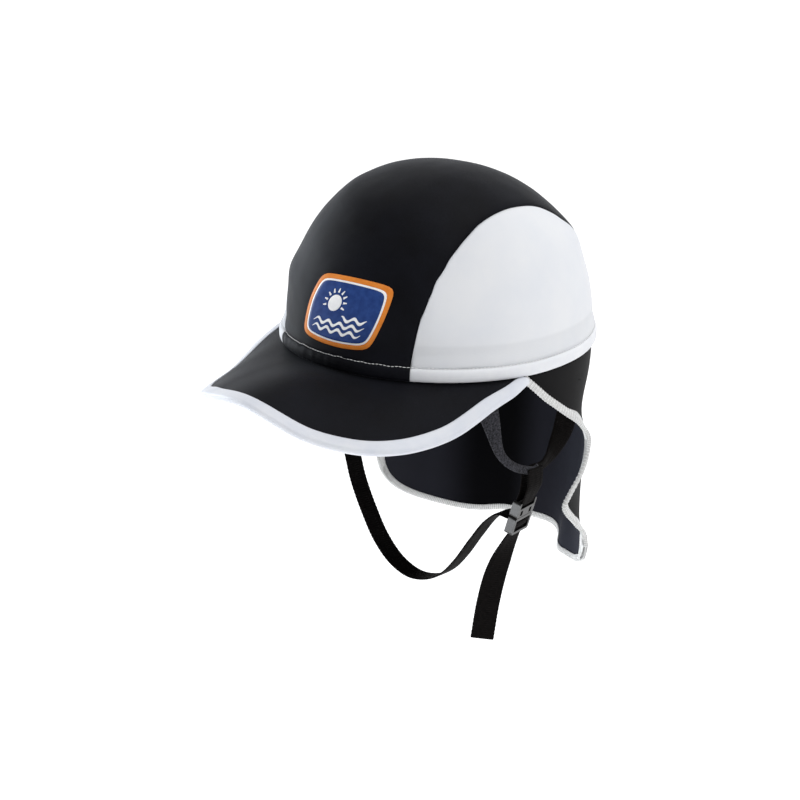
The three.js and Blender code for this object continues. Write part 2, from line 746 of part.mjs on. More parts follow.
// Plate of the clip with rounded corners, between two heights
function clipPlate(low, high) {
  const [half, corner] = [CLIP_WIDTH / 2, CLIP_CORNER];
  const shape = new THREE.Shape();
  shape.moveTo(-half + corner, low);
  shape.lineTo(half - corner, low);
  shape.quadraticCurveTo(half, low, half, low + corner);
  shape.lineTo(half, high - corner);
  shape.quadraticCurveTo(half, high, half - corner, high);
  shape.lineTo(-half + corner, high);
  shape.quadraticCurveTo(-half, high, -half, high - corner);
  shape.lineTo(-half, low + corner);
  shape.quadraticCurveTo(-half, low, -half + corner, low);
  const plate = new THREE.ExtrudeGeometry(shape, {
    depth: CLIP_DEPTH, bevelEnabled: false, curveSegments: STEPS.corner,
  });
  plate.translate(0, 0, -CLIP_DEPTH / 2);
  plate.rotateX(Math.PI / 2);
  plate.rotateZ(Math.PI / 2);
  return solidOf(plate);
}

function clipBar(height) {
  const length = CLIP_WIDTH - CLIP_RAIL;
  const bar = new THREE.CylinderGeometry(BAR_RADIUS, BAR_RADIUS, length, STEPS.bar);
  bar.translate(0, 0, height);
  return solidOf(bar);
}

const SLOT_HALF = CLIP_WIDTH / 2 - CLIP_RAIL;
const CLIP_HALF_DEPTH = CLIP_DEPTH / 2;
const SLOT_RADIUS = WRAP_RADIUS + WEBBING_WALL / 2 + PIECE_GAP;
const POCKET_SHARE = 0.52;
const POCKET_HALF = CLIP_HALF_DEPTH * POCKET_SHARE;
const POCKET_TOP = SOCKET_BAR - SLOT_RADIUS - 1;
const WINDOW = { inner: 0.48 * SLOT_HALF, outer: 0.8 * SLOT_HALF };
const PRONG = { inner: 0.43 * SLOT_HALF, outer: 0.87 * SLOT_HALF };
const mirroredRange = (side, { inner, outer }) => (
  side > 0 ? [inner, outer] : [-outer, -inner]
);
const LADDER_BAR_FRONT = BAR_RADIUS;
const THROUGH = [-CLIP_DEPTH, CLIP_DEPTH];

// Socket of the clip: bar for the loop, pocket for the prongs and two windows that show them
function socketBody() {
  const slotLow = SOCKET_BAR - SLOT_RADIUS;
  let body = clipPlate(PIECE_GAP / 2, SOCKET_LENGTH)
    .subtract(block(THROUGH, [-SLOT_HALF, SLOT_HALF], [slotLow, SOCKET_LENGTH + 1]))
    .add(clipBar(SOCKET_BAR))
    .subtract(block([-POCKET_HALF, POCKET_HALF], [-SLOT_HALF, SLOT_HALF], [-1, POCKET_TOP]));
  for (const side of [-1, 1]) {
    const wide = mirroredRange(side, WINDOW);
    body = body.subtract(block([0, CLIP_DEPTH], wide, [1, POCKET_TOP - PIECE_GAP]));
  }
  return geometryOf(body);
}

// Ladder of the clip: prongs, a middle bar for the strap and a lower bar that the tail hangs behind
function ladderBody() {
  const slotTop = LADDER_BAR + SLOT_RADIUS;
  const slotLow = -LADDER_LENGTH * LADDER_SHARES.slotEnd;
  const gapWide = [-SLOT_HALF, SLOT_HALF];
  const tongue = POCKET_HALF - PIECE_GAP;
  let body = clipPlate(-LADDER_LENGTH, -PIECE_GAP / 2)
    .subtract(block(THROUGH, gapWide, [slotLow, slotTop]))
    .subtract(block([-CLIP_DEPTH, LADDER_BAR_FRONT], gapWide, [-LADDER_LENGTH - 1, slotLow + 1]))
    .add(clipBar(LADDER_BAR));
  for (const side of [-1, 1]) {
    const wide = mirroredRange(side, PRONG);
    body = body.add(block([-tongue, tongue], wide, [-1, POCKET_TOP - PIECE_GAP]));
  }
  return geometryOf(body);
}

// Finishes
const BLACK_CLOTH = { color: 0x26262b, roughness: 0.75 };
const WHITE_CLOTH = { color: 0xe6e8ec, roughness: 0.7 };
const WHITE_TRIM = { color: 0xf2f3f2, roughness: 0.85 };
const BLACK_WEBBING = { color: 0x1c1a1b, roughness: 0.9 };
const BLACK_PLASTIC = { color: 0x232325, roughness: 0.35 };
const BADGE_PRINT = { color: 0x24479a, roughness: 0.5 };

const cap = new THREE.Group();

function addPiece(parent, name, geometry, finish) {
  const material = new THREE.MeshStandardMaterial({ ...finish, metalness: 0 });
  const mesh = new THREE.Mesh(geometry, material);
  mesh.name = name;
  parent.add(mesh);
}

const cloth = (at, wall, steps) => wallBody(at, behindBy(at, wall), ...steps);
const spacedOut = (at) => (a, d) => at(flapColumn(a), flapRow(d));
const centerPanel = cloth(centerPanelPoint, CROWN_WALL, STEPS.centerPanel);
const leftPanel = cloth(sidePanelPoint(LEFT), CROWN_WALL, STEPS.sidePanel);
const rightPanel = cloth(sidePanelPoint(RIGHT), CROWN_WALL, STEPS.sidePanel);
addPiece(cap, 'crown_center_panel', centerPanel, BLACK_CLOTH);
addPiece(cap, 'crown_side_panel_left', leftPanel, WHITE_CLOTH);
addPiece(cap, 'crown_side_panel_right', rightPanel, WHITE_CLOTH);

const hemGap = radToDeg(PIECE_GAP / 2 / OPENING_FRONT);
const hemSide = hemBand(SIDE_START + hemGap, 180 - SIDE_START - hemGap, STEPS.hemSide);
const hemFront = hemBand(-SIDE_START + hemGap, SIDE_START - hemGap, STEPS.hemFront);
const backStart = 180 - SIDE_START + hemGap;
const hemBack = hemBand(backStart, 360 - backStart, STEPS.hemFront);
addPiece(cap, 'hem_band_front', hemFront, BLACK_CLOTH);
addPiece(cap, 'hem_band_left', hemSide, WHITE_CLOTH);
addPiece(cap, 'hem_band_right', mirrored(hemSide), WHITE_CLOTH);
addPiece(cap, 'hem_band_back', hemBack, BLACK_CLOTH);

const badgeFace = (lift) => (a, d) => badgePoint(a, d, lift);
const [badgeOuter, badgeInner] = [badgeFace(PIECE_GAP + BADGE_WALL), badgeFace(PIECE_GAP)];
const badge = wallBody(badgeOuter, badgeInner, ...STEPS.badge, true);
addPiece(cap, 'crown_badge', badge, BADGE_PRINT);

addPiece(cap, 'brim', cloth(brimPoint, BRIM_WALL, STEPS.brim), BLACK_CLOTH);
const binding = channelBody({
  at: brimPoint,
  wall: BRIM_WALL,
  edge: brimEdge,
  width: bindingWidth,
  gap: PIECE_GAP,
  channelWall: BINDING_WALL,
  steps: STEPS.brim[0],
});
addPiece(cap, 'brim_binding', binding, WHITE_TRIM);

const flapInner = behindBy(flapPoint, FLAP_WALL);
const flap = wallBody(spacedOut(flapPoint), spacedOut(flapInner), ...STEPS.flap);
const flapTrim = channelBody({
  at: flapPoint,
  wall: FLAP_WALL,
  edge: flapEdge,
  width: () => TRIM_WIDTH - TRIM_HALF,
  gap: TRIM_GAP,
  channelWall: TRIM_WALL,
  steps: TRIM_STEPS,
});
addPiece(cap, 'flap', flap, BLACK_CLOTH);
addPiece(cap, 'flap_trim', flapTrim, WHITE_TRIM);

const frontPast = new THREE.Vector3(0, WEBBING_WIDTH, WEBBING_WIDTH / 5);
const backPast = new THREE.Vector3(0, -WEBBING_WIDTH / 3, 0);
const frontBranch = branch(FRONT_BRANCH_TURN, FRONT_BRANCH_ROWS, 0, frontPast);
const backBranch = branch(BACK_BRANCH_TURN, BACK_BRANCH_ROWS, 1, backPast);
addPiece(cap, 'chin_strap_left_front', frontBranch, BLACK_WEBBING);
addPiece(cap, 'chin_strap_left_back', backBranch, BLACK_WEBBING);
addPiece(cap, 'clip_loop', loopWebbing(), BLACK_WEBBING);
addPiece(cap, 'chin_strap_right', chinWebbing(), BLACK_WEBBING);

const clip = new THREE.Group();
clip.applyMatrix4(CLIP_FRAME);
addPiece(clip, 'clip_socket', socketBody(), BLACK_PLASTIC);
addPiece(clip, 'clip_ladder', ladderBody(), BLACK_PLASTIC);
cap.add(clip);

export default cap;
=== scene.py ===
# %% [markdown]
# # A child's sun flap cap
# The cap has a soft crown of three panels, a curved brim with a white bound edge, a long neck flap
# with an overlocked edge, and a chin strap with a small clip. Its solids come from the packed
# frame, in metres. Each soft piece is made again here in the place of its solid, with the
# thickness, seams, stitches and finish of the real cloth.

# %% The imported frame
import math
import bmesh
import bpy
from mathutils import Matrix, Vector, noise


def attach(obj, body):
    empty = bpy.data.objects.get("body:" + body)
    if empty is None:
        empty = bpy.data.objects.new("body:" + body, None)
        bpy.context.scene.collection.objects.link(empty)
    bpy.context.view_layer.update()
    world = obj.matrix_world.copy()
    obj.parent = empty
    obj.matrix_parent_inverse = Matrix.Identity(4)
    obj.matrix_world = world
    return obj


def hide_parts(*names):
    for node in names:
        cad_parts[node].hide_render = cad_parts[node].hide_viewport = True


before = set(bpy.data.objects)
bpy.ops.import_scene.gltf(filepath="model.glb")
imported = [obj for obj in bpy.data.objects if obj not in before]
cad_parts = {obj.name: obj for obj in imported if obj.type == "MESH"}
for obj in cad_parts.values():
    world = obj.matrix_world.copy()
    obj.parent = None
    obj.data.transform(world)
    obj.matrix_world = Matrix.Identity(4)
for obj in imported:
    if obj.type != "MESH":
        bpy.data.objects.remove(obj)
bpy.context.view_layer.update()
MM = 0.001
MERGE_DISTANCE = 0.00001
print("solids in the frame:", len(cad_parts))

# %% [markdown]
# ## Camera
# A long lens from the front left, a little above the cap, shows it as the photograph does. The
# picture leans by three degrees, so the camera is rolled about its own view line. Its turn is
# written from the angles and its place is given, so that the view can be read from the numbers.

# %% Camera
VIEW = {"azimuth": 39.48, "elevation": 17.87, "roll": 2.93, "lens": 102.15}
VIEW_PLACE = Vector((0.690676, -0.861979, 0.322070))

turn, rise, roll = (math.radians(VIEW[k]) for k in ("azimuth", "elevation", "roll"))
away = Vector((math.sin(turn) * math.cos(rise), -math.cos(turn) * math.cos(rise), math.sin(rise)))
level = Vector((math.cos(turn), math.sin(turn), 0.0))
upright = away.cross(level)
right = level * math.cos(roll) + upright * math.sin(roll)
up = upright * math.cos(roll) - level * math.sin(roll)
camera_data = bpy.data.cameras.new("photo_camera")
camera_data.lens = VIEW["lens"]
camera_data.sensor_width = 36.0
camera = bpy.data.objects.new("photo_camera", camera_data)
camera.matrix_world = Matrix.Translation(VIEW_PLACE) @ Matrix((right, up, away)).transposed().to_4x4()
bpy.context.scene.collection.objects.link(camera)
bpy.context.scene.camera = camera
print("camera distance in metres:", round(VIEW_PLACE.length, 3))

# %% [markdown]
# ## Sizes and shapes of the cap
# These are the sizes of the frame's solids, in millimetres, with the tables that shape the brim,
# the flap and the straps. The binding's ends and the flap's lower left corner are up to four
# millimetres off the solids, nearer to the photograph. A table is read on a smooth curve through
# its values, so a few numbers give a flowing edge.

# %% Sizes
OPENING = {"side": 73.7, "front": 79.5, "back": 94.7}
HEM_HEIGHT, HEM_ROLL, HEM_BULGE = 7.0, 3.0, 1.4
CROWN_HEIGHT, CROWN_STEP_IN, CROWN_BASE, APEX_FORWARD = 83.4, 1.5, 7.3, 1.5
ROUNDNESS = {"front": 2.0, "side": 2.27, "back": 1.93}
PANEL_HALF_WIDTH = {"low": 39.7, "high": 46.4, "slip": 15.0}
# A fold: its turn, its share of the way down, its width and height, and its push outwards
CROWN_FOLDS = [(-48, 0.8, 24, 0.055, 0.022), (-52, 0.34, 18, 0.06, 0.014), (-20, 0.38, 35, 0.1, 0.025),
               (130, 0.62, 32, 0.08, 0.022)]
BRIM_REACH, BRIM_DROP, BRIM_WALL, BRIM_TUCK, BRIM_CAMBER, BRIM_CURL = 60.0, 21.0, 2.4, 2.7, 2.5, 1.25
BINDING_WIDTH, BINDING_HALF = 7.2, 2.0
BRIM_EDGE = {
    "turn": [-77, -70, -60, -45, -30, -15, 0, 15, 30, 45, 60, 70, 77],
    "reach": [0.06, 0.15, 0.24, 0.46, 0.73, 0.88, 0.98, 0.88, 0.73, 0.46, 0.24, 0.15, 0.06],
    "drop": [0.0, 0.13, 0.38, 0.93, 0.94, 0.5, 0.22, 0.78, 0.99, 0.87, 0.38, 0.13, 0.0],
}
FLAP_DROP, FLAP_SET_IN, FLAP_WALL = 121.15, 0.8, 0.9
FLAP_EDGE = {
    "down": [0.0, 0.12, 0.23, 0.31, 0.39, 0.46, 0.53, 0.6, 0.66, 0.77, 0.87, 1.05],
    "right": [78, 88, 96, 101, 106, 109, 111, 113, 114, 115, 116, 117],
    "left": [76, 90, 103.5, 115, 122.5, 123.5, 118.5, 110, 107.5, 117.5, 127.5, 131],
    "flare": [0.0, 0.0, 0.01, 0.02, 0.05, 0.05, 0.04, 0.015, 0.0, 0.025, 0.065, 0.09],
}
FLAP_HEM = {
    "across": [-1.0, -0.985, -0.94, -0.87, -0.75, -0.55, -0.38, -0.18,
               0.0, 0.25, 0.38, 0.5, 0.65, 0.78, 0.89, 0.96, 1.0],
    "drop": [0.7, 0.79, 0.86, 0.91, 0.955, 0.995, 1.005, 0.985,
             0.985, 0.975, 0.995, 1.02, 1.025, 1.02, 1.0, 0.98, 0.92],
}
FLAP_FOLDS = [(140, 0.27, 16, 0.1, -0.075), (178, 0.55, 20, 0.4, 0.03), (212, 0.7, 13, 0.35, -0.03),
              (148, 1.05, 8, 0.3, -0.08)]
WEBBING_WIDTH, WEBBING_WALL = 12.0, 1.1
LAYER = WEBBING_WALL + 0.3
half_length = (OPENING["front"] + OPENING["back"]) / 2
print("head opening, round in mm:", round(math.pi * (OPENING["side"] + half_length)))

# %% Reading a table, and the plan of the head opening


def read_table(table, by, column, value):
    """A column's value on a smooth curve through its rows."""
    places, values = table[by], table[column]
    last = len(places) - 1
    k = 0
    while k < last - 1 and value > places[k + 1]:
        k += 1
    span = places[k + 1] - places[k]
    share = min(max((value - places[k]) / span, 0.0), 1.0)

    def slope(row):
        before, after = max(row - 1, 0), min(row + 1, last)
        return (values[after] - values[before]) / (places[after] - places[before])

    square, cube = share * share, share ** 3
    return ((2 * cube - 3 * square + 1) * values[k] + (cube - 2 * square + share) * span * slope(k)
            + (3 * square - 2 * cube) * values[k + 1] + (cube - square) * span * slope(k + 1))


def hill(distance, width):
    return math.exp(-((distance / width) ** 2))


def smooth_step(value, start, width):
    ease = min(max((value - start) / width, 0.0), 1.0)
    return ease * ease * (3 - 2 * ease)


def blend(low, high, share):
    return low + (high - low) * share


def opening_point(turn_deg, drawn_in, height):
    """Point of the head opening at a turn from the front, drawn in by a distance."""
    angle = math.radians(turn_deg)
    length = OPENING["front"] if math.cos(angle) > 0 else OPENING["back"]
    across = (OPENING["side"] - drawn_in) * math.sin(angle)
    return Vector((across, -(length - drawn_in) * math.cos(angle), height))


print("front of the opening:", tuple(round(c, 1) for c in opening_point(0, 0, 0)))

# %% [markdown]
# ## Making a piece from a laid grid
# Cloth starts flat. So each cloth piece starts as a flat grid, and every corner of the grid is
# moved to its place on the cap. The grid's own UV map is kept in metres, which lets a weave follow
# the cloth round every bend. The real wall is then given by a Solidify modifier.

# %% Helpers for pieces


def laid_grid(across, down, place, size, bm=None):
    """A grid of faces with its corners at place(a, d) in millimetres, a and d from 0 to 1.

    Its UV map has the given size in metres.
    """
    bm = bm or bmesh.new()
    uv = bm.loops.layers.uv.get("cloth") or bm.loops.layers.uv.new("cloth")
    made = bmesh.ops.create_grid(bm, x_segments=across, y_segments=down, size=0.5, calc_uvs=True)
    shares = {v: (v.co.x + 0.5, 0.5 - v.co.y) for v in made["verts"]}
    for v, (a, d) in shares.items():
        v.co = place(a, d) * MM
    for face in {f for v in made["verts"] for f in v.link_faces}:
        for loop in face.loops:
            a, d = shares[loop.vert]
            loop[uv].uv = (a * size[0], d * size[1])
    return bm


def faces_outwards(bm, middle):
    """Turns an open sheet so that its faces look away from a middle point in millimetres."""
    bm.normal_update()
    outward = sum(f.normal.dot(f.calc_center_median() - middle * MM) * f.calc_area() for f in bm.faces)
    if outward < 0:
        bmesh.ops.reverse_faces(bm, faces=bm.faces)


def cap_piece(name, bm, material, slot, *nodes, wall=0.0, smooth=True):
    """An object from a mesh, riding on the cap and standing for the named solids."""
    mesh = bpy.data.meshes.new(name)
    bm.normal_update()
    for face in bm.faces:
        face.smooth = smooth
    bm.to_mesh(mesh)
    bm.free()
    piece = bpy.data.objects.new(name, mesh)
    bpy.context.scene.collection.objects.link(piece)
    mesh.materials.append(material)
    if wall:
        solid = piece.modifiers.new("wall", "SOLIDIFY")
        solid.thickness = wall * MM
        solid.offset = -1.0
    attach(piece, "root")
    if nodes:
        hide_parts(*nodes)
    print(f"{name}: {len(mesh.polygons)} faces")
    return piece


# %% [markdown]
# ## Finishes
# The cloth is a smooth swim knit, so it has a faint fine rib, a soft sheen and no gloss. The black
# is never quite black: light catches the knit, and its tone wanders a little. Webbing is coarser,
# with a rib each way. The ribs read the UV map, so that they run with the cloth. The inside of the
# flap has painted shade and light in its colour: deep black behind the neck, and paler and bluish
# towards its front edges.

# %% Helpers for finishes


def new_finish(name, color, roughness, specular=0.5, sheen=0.0, sheen_roughness=0.5):
    material = bpy.data.materials.new(name)
    material.use_nodes = True
    shader = material.node_tree.nodes["Principled BSDF"]
    shader.inputs["Base Color"].default_value = (*color, 1.0)
    shader.inputs["Roughness"].default_value = roughness
    shader.inputs["Specular IOR Level"].default_value = specular
    shader.inputs["Sheen Weight"].default_value = sheen
    shader.inputs["Sheen Roughness"].default_value = sheen_roughness
    return material, material.node_tree, shader


def add_node(tree, kind, **values):
    node = tree.nodes.new(kind)
    for key, value in values.items():
        if key in node.inputs:
            node.inputs[key].default_value = value
        else:
            setattr(node, key, value)
    return node


def ranged(tree, low, high, to_low, to_high, **how):
    """A Map Range node from one span of values to another."""
    node = add_node(tree, "ShaderNodeMapRange", **how)
    for name, value in (("From Min", low), ("From Max", high), ("To Min", to_low), ("To Max", to_high)):
        node.inputs[name].default_value = value
    return node


def two_tones(tree, shader, dark, light, size):
    """Lets the colour wander between two tones in soft patches of a size in metres."""
    place = add_node(tree, "ShaderNodeTexCoord")
    cloud = add_node(tree, "ShaderNodeTexNoise", Scale=1.0 / size, Detail=4.0, Roughness=0.6)
    tones = add_node(tree, "ShaderNodeValToRGB")
    tones.color_ramp.elements[0].position, tones.color_ramp.elements[1].position = 0.35, 0.65
    tones.color_ramp.elements[0].color = (*dark, 1.0)
    tones.color_ramp.elements[1].color = (*light, 1.0)
    tree.links.new(place.outputs["Object"], cloud.inputs["Vector"])
    tree.links.new(cloud.outputs["Fac"], tones.inputs["Fac"])
    tree.links.new(tones.outputs["Color"], shader.inputs["Base Color"])
    return tones


def allowance_shadow(tree, shader, tones):
    """The seam allowance inside the lowest 18 mm of a panel greys the thin white cloth a little."""
    place = add_node(tree, "ShaderNodeTexCoord")
    apart = add_node(tree, "ShaderNodeSeparateXYZ")
    step = ranged(tree, 0.0165, 0.0185, 0.93, 1.0, interpolation_type="SMOOTHSTEP")
    shade = add_node(tree, "ShaderNodeVectorMath", operation="SCALE")
    tree.links.new(place.outputs["Object"], apart.inputs["Vector"])
    tree.links.new(apart.outputs["Z"], step.inputs["Value"])
    tree.links.new(tones.outputs["Color"], shade.inputs[0])
    tree.links.new(step.outputs["Result"], shade.inputs["Scale"])
    tree.links.new(shade.outputs["Vector"], shader.inputs["Base Color"])


# Painted shade and light on the inside of the flap, from the wearer's right to the left: place on the way,
# and colour
INSIDE_PAINTED_SHADE = [(0.0, (0.036, 0.037, 0.047)), (0.19, (0.016, 0.0165, 0.022)),
                (0.33, (0.002, 0.002, 0.0027)), (0.42, (0.0015, 0.0015, 0.002)),
                (0.56, (0.015, 0.0155, 0.021)), (0.78, (0.028, 0.03, 0.04)),
                (1.0, (0.052, 0.055, 0.071))]


def paint_inside_shade(tree, shader):
    """Painted shade and light: the inside is deep black behind the neck, and paler and bluish towards its
    front edges.
    """
    place = add_node(tree, "ShaderNodeTexCoord")
    apart = add_node(tree, "ShaderNodeSeparateXYZ")
    spread = ranged(tree, -0.08, 0.075, 0.0, 1.0)
    tones = add_node(tree, "ShaderNodeValToRGB")
    tones.color_ramp.interpolation = "EASE"
    stops = tones.color_ramp.elements
    for position, _ in INSIDE_PAINTED_SHADE[1:-1]:
        stops.new(position)
    for stop, (position, color) in zip(stops, INSIDE_PAINTED_SHADE):
        stop.position, stop.color = position, (*color, 1.0)
    tree.links.new(place.outputs["Object"], apart.inputs["Vector"])
    tree.links.new(apart.outputs["X"], spread.inputs["Value"])
    tree.links.new(spread.outputs["Result"], tones.inputs["Fac"])
    tree.links.new(tones.outputs["Color"], shader.inputs["Base Color"])


# Period of a wave texture whose scale is 1
WAVE_PERIOD = 0.314159
KNIT_RIB, KNIT_DEPTH = (0.0006, 0.0006), 0.00004


def ribs(tree, shader, periods, depth):
    """A rib of the given periods in metres along the cloth's U and V, as a bump of a depth in metres."""
    place = add_node(tree, "ShaderNodeTexCoord")
    heights = []
    for direction, period in zip("XY", periods):
        wave = add_node(tree, "ShaderNodeTexWave", bands_direction=direction, Scale=WAVE_PERIOD / period)
        tree.links.new(place.outputs["UV"], wave.inputs["Vector"])
        heights.append(wave.outputs["Fac"])
    cross = add_node(tree, "ShaderNodeMath", operation="MULTIPLY")
    tree.links.new(heights[0], cross.inputs[0])
    tree.links.new(heights[1], cross.inputs[1])
    bump = add_node(tree, "ShaderNodeBump", Strength=1.0, Distance=depth)
    tree.links.new(cross.outputs["Value"], bump.inputs["Height"])
    tree.links.new(bump.outputs["Normal"], shader.inputs["Normal"])


# %% Finishes of the cloth
black_cloth, tree, shader = new_finish("black_swim_knit", (0.0045, 0.0047, 0.007), 0.52, 0.05, 0.07, 0.35)
two_tones(tree, shader, (0.0036, 0.0036, 0.0048), (0.0056, 0.006, 0.0088), 0.03)
shader.inputs["Sheen Tint"].default_value = (0.85, 0.9, 1.0, 1.0)
ribs(tree, shader, KNIT_RIB, KNIT_DEPTH)
flap_cloth, tree, shader = new_finish("black_flap_knit", (0.0055, 0.0053, 0.0058), 0.6, 0.03, 0.02, 0.45)
two_tones(tree, shader, (0.004, 0.0038, 0.0042), (0.007, 0.0068, 0.0075), 0.04)
ribs(tree, shader, KNIT_RIB, KNIT_DEPTH)
# The inside's colour is painted shade and light, which changes from side to side.
flap_inside_painted_shade, tree, shader = new_finish("black_flap_knit_inside_painted_shade", (0.008, 0.0085, 0.012), 0.6,
                                       0.02, 0.01, 0.45)
paint_inside_shade(tree, shader)
ribs(tree, shader, KNIT_RIB, KNIT_DEPTH)
white_cloth, tree, shader = new_finish("white_swim_knit", (0.7, 0.715, 0.74), 0.6, 0.15, 0.05, 0.4)
tones = two_tones(tree, shader, (0.685, 0.702, 0.735), (0.72, 0.73, 0.75), 0.03)
allowance_shadow(tree, shader, tones)
ribs(tree, shader, KNIT_RIB, KNIT_DEPTH)
white_tape, tree, shader = new_finish("white_satin_tape", (0.66, 0.68, 0.73), 0.45, 0.35, 0.05)
two_tones(tree, shader, (0.63, 0.655, 0.715), (0.69, 0.705, 0.745), 0.012)
ribs(tree, shader, (0.0005, 0.0009), 0.00005)
white_thread, tree, shader = new_finish("white_thread", (0.84, 0.845, 0.84), 0.7, 0.3, 0.1)
two_tones(tree, shader, (0.76, 0.765, 0.765), (0.87, 0.875, 0.87), 0.002)
# The band under the loops is greyer than the thread: greyish-white thread, with painted shade in the gaps
# between the loops.
trim_thread_and_gap_shade, tree, shader = new_finish("overlocked_edge_and_gap_shade", (0.6, 0.6, 0.59), 0.8, 0.15)
two_tones(tree, shader, (0.52, 0.52, 0.51), (0.68, 0.68, 0.67), 0.0014)
black_webbing, tree, shader = new_finish("black_webbing", (0.0035, 0.0028, 0.0026), 0.7, 0.05)
two_tones(tree, shader, (0.0022, 0.0017, 0.0016), (0.0052, 0.0042, 0.0039), 0.0015)
ribs(tree, shader, (0.0012, 0.0014), 0.00018)
# The front branch is the same black webbing: its lighter grey and pale specks are painted glints, where it
# faces the light.
glint_webbing, tree, shader = new_finish("webbing_with_painted_glints", (0.02, 0.02, 0.024), 0.8, 0.15, 0.05)
two_tones(tree, shader, (0.003, 0.003, 0.004), (0.05, 0.05, 0.06), 0.0009)
ribs(tree, shader, (0.0011, 0.0013), 0.0002)
black_plastic, tree, shader = new_finish("black_plastic", (0.006, 0.006, 0.006), 0.28, 0.5)
two_tones(tree, shader, (0.005, 0.0047, 0.0045), (0.0075, 0.0072, 0.007), 0.004)
white_band, tree, shader = new_finish("white_hem_knit", (0.74, 0.75, 0.775), 0.6, 0.15, 0.05, 0.4)
two_tones(tree, shader, (0.72, 0.732, 0.765), (0.76, 0.768, 0.788), 0.01)
ribs(tree, shader, KNIT_RIB, KNIT_DEPTH)
print("finishes made:", len(bpy.data.materials))

# %% [markdown]
# ## Crown
# The crown is a rounded shell over the head. A point on it is named by its turn about the head and
# its share of the way from the top to the hem. Two seams part it into a black centre strip and two
# white sides. At a seam the cloth turns under, so each panel dips a little along its edges.

# %% Crown surface
SEAM_DIP, SEAM_REACH = 0.7, 2.6
SHARE_LENGTH = 133.0
CROWN_MIDDLE = Vector((0, 0, 20))
SEAM_HALVINGS, FRONT_HALVINGS = 24, 26


def crown_point(turn_deg, share, lift=0.0):
    angle = math.radians(turn_deg)
    front = max(math.cos(angle), 0.0) ** 2
    back = max(-math.cos(angle), 0.0) ** 2
    side = math.sin(angle) ** 2
    power = front * ROUNDNESS["front"] + back * ROUNDNESS["back"] + side * ROUNDNESS["side"]
    quarter = min(share, 1.0) * math.pi / 2
    out = math.sin(quarter) ** (2 / power)
    rise_share = max(math.cos(quarter), 0.0) ** (2 / power)
    rim = opening_point(turn_deg, CROWN_STEP_IN, 0)
    for fold_turn, fold_share, wide, tall, push in CROWN_FOLDS:
        distance = abs((turn_deg - fold_turn + 540) % 360 - 180)
        out += push * hill(distance, wide) * hill(share - fold_share, tall)
    height = CROWN_BASE + CROWN_HEIGHT * rise_share
    point = Vector((rim.x * out, rim.y * out - APEX_FORWARD * rise_share, height))
    if lift:
        point += (point - CROWN_MIDDLE).normalized() * lift
    return point


def panel_half_width(point, side):
    """Half width of the centre strip, which has slipped over to the right (-1) above the hem."""
    rise_share = min(max((point.z - CROWN_BASE) / CROWN_HEIGHT, 0.0), 1.0)
    slip = PANEL_HALF_WIDTH["slip"] * math.sqrt(math.sin(math.pi * rise_share)) if side < 0 else 0.0
    wobble = 0.5 * noise.noise(Vector((point.z * 0.16, side * 3.0, point.y * 0.02)))
    return blend(PANEL_HALF_WIDTH["low"], PANEL_HALF_WIDTH["high"], rise_share) + slip + wobble


def share_at_seam(point_at, side):
    """Share of the way at which a path over the crown meets a seam."""
    low, high = 0.0, 1.0
    for _ in range(SEAM_HALVINGS):
        middle = (low + high) / 2
        point = point_at(middle)
        if side * point.x < panel_half_width(point, side):
            low = middle
        else:
            high = middle
    return high


def softness(point):
    """Slight unevenness of cloth that nothing stretches."""
    return 0.35 * noise.noise(point * 0.035) + 0.12 * noise.noise(point * 0.11)


def seam_dip(distance):
    return -SEAM_DIP * max(1.0 - max(distance, 0.0) / SEAM_REACH, 0.0) ** 2


# %% Side panels
SIDE_RIM = OPENING["side"] - CROWN_STEP_IN
SIDE_START = math.degrees(math.asin(PANEL_HALF_WIDTH["low"] / SIDE_RIM))
HEM_SWELL, SWELL_START = 1.5, 0.955


def near_hem(share):
    """The cloth swells out over the last millimetres, where it rolls over into the hem."""
    return HEM_SWELL * smooth_step(share, SWELL_START, 1 - SWELL_START)


def side_panel(name, side):
    seams = {}

    def place(a, d):
        turn_deg = side * 90 + blend(90 - SIDE_START, SIDE_START - 90, a)
        key = round(a, 6)
        if key not in seams:
            seams[key] = share_at_seam(lambda share: crown_point(turn_deg, share), side)
        share = blend(seams[key], 1.0, d)
        point = crown_point(turn_deg, share)
        lift = seam_dip((share - seams[key]) * SHARE_LENGTH) + near_hem(share) + softness(point)
        return crown_point(turn_deg, share, lift)

    bm = laid_grid(120, 60, place, (0.16, 0.09))
    bmesh.ops.remove_doubles(bm, verts=bm.verts, dist=2 * MERGE_DISTANCE)
    faces_outwards(bm, CROWN_MIDDLE)
    cap_piece(name, bm, white_cloth, "white_cloth", name, wall=1.0)


side_panel("crown_side_panel_left", 1)
side_panel("crown_side_panel_right", -1)

# %% Centre panel
center_seams = {}


def disc_point(across, lengthways, lift=0.0):
    back = lengthways * math.sqrt(max(1 - across ** 2, 0.0))
    turn_deg = math.degrees(math.atan2(across, -back))
    return crown_point(turn_deg, math.hypot(across, back), lift)


def center_panel_point(a, d):
    lengthways = blend(-1.0, 1.0, d)
    key = round(d, 6)
    if key not in center_seams:
        center_seams[key] = [share_at_seam(lambda across: disc_point(side * across, lengthways), side)
                             for side in (-1, 1)]
    far_seam, near_seam = center_seams[key]
    across = blend(-far_seam, near_seam, a)
    to_seam = min(near_seam - across, across + far_seam) * SIDE_RIM
    point = disc_point(across, lengthways)
    share = math.hypot(across, lengthways * math.sqrt(max(1 - across ** 2, 0.0)))
    return disc_point(across, lengthways, seam_dip(to_seam) + near_hem(share) + softness(point))


bm = laid_grid(72, 180, center_panel_point, (0.085, 0.25))
faces_outwards(bm, CROWN_MIDDLE)
cap_piece("crown_center_panel", bm, black_cloth, "black_cloth", "crown_center_panel", wall=1.0)

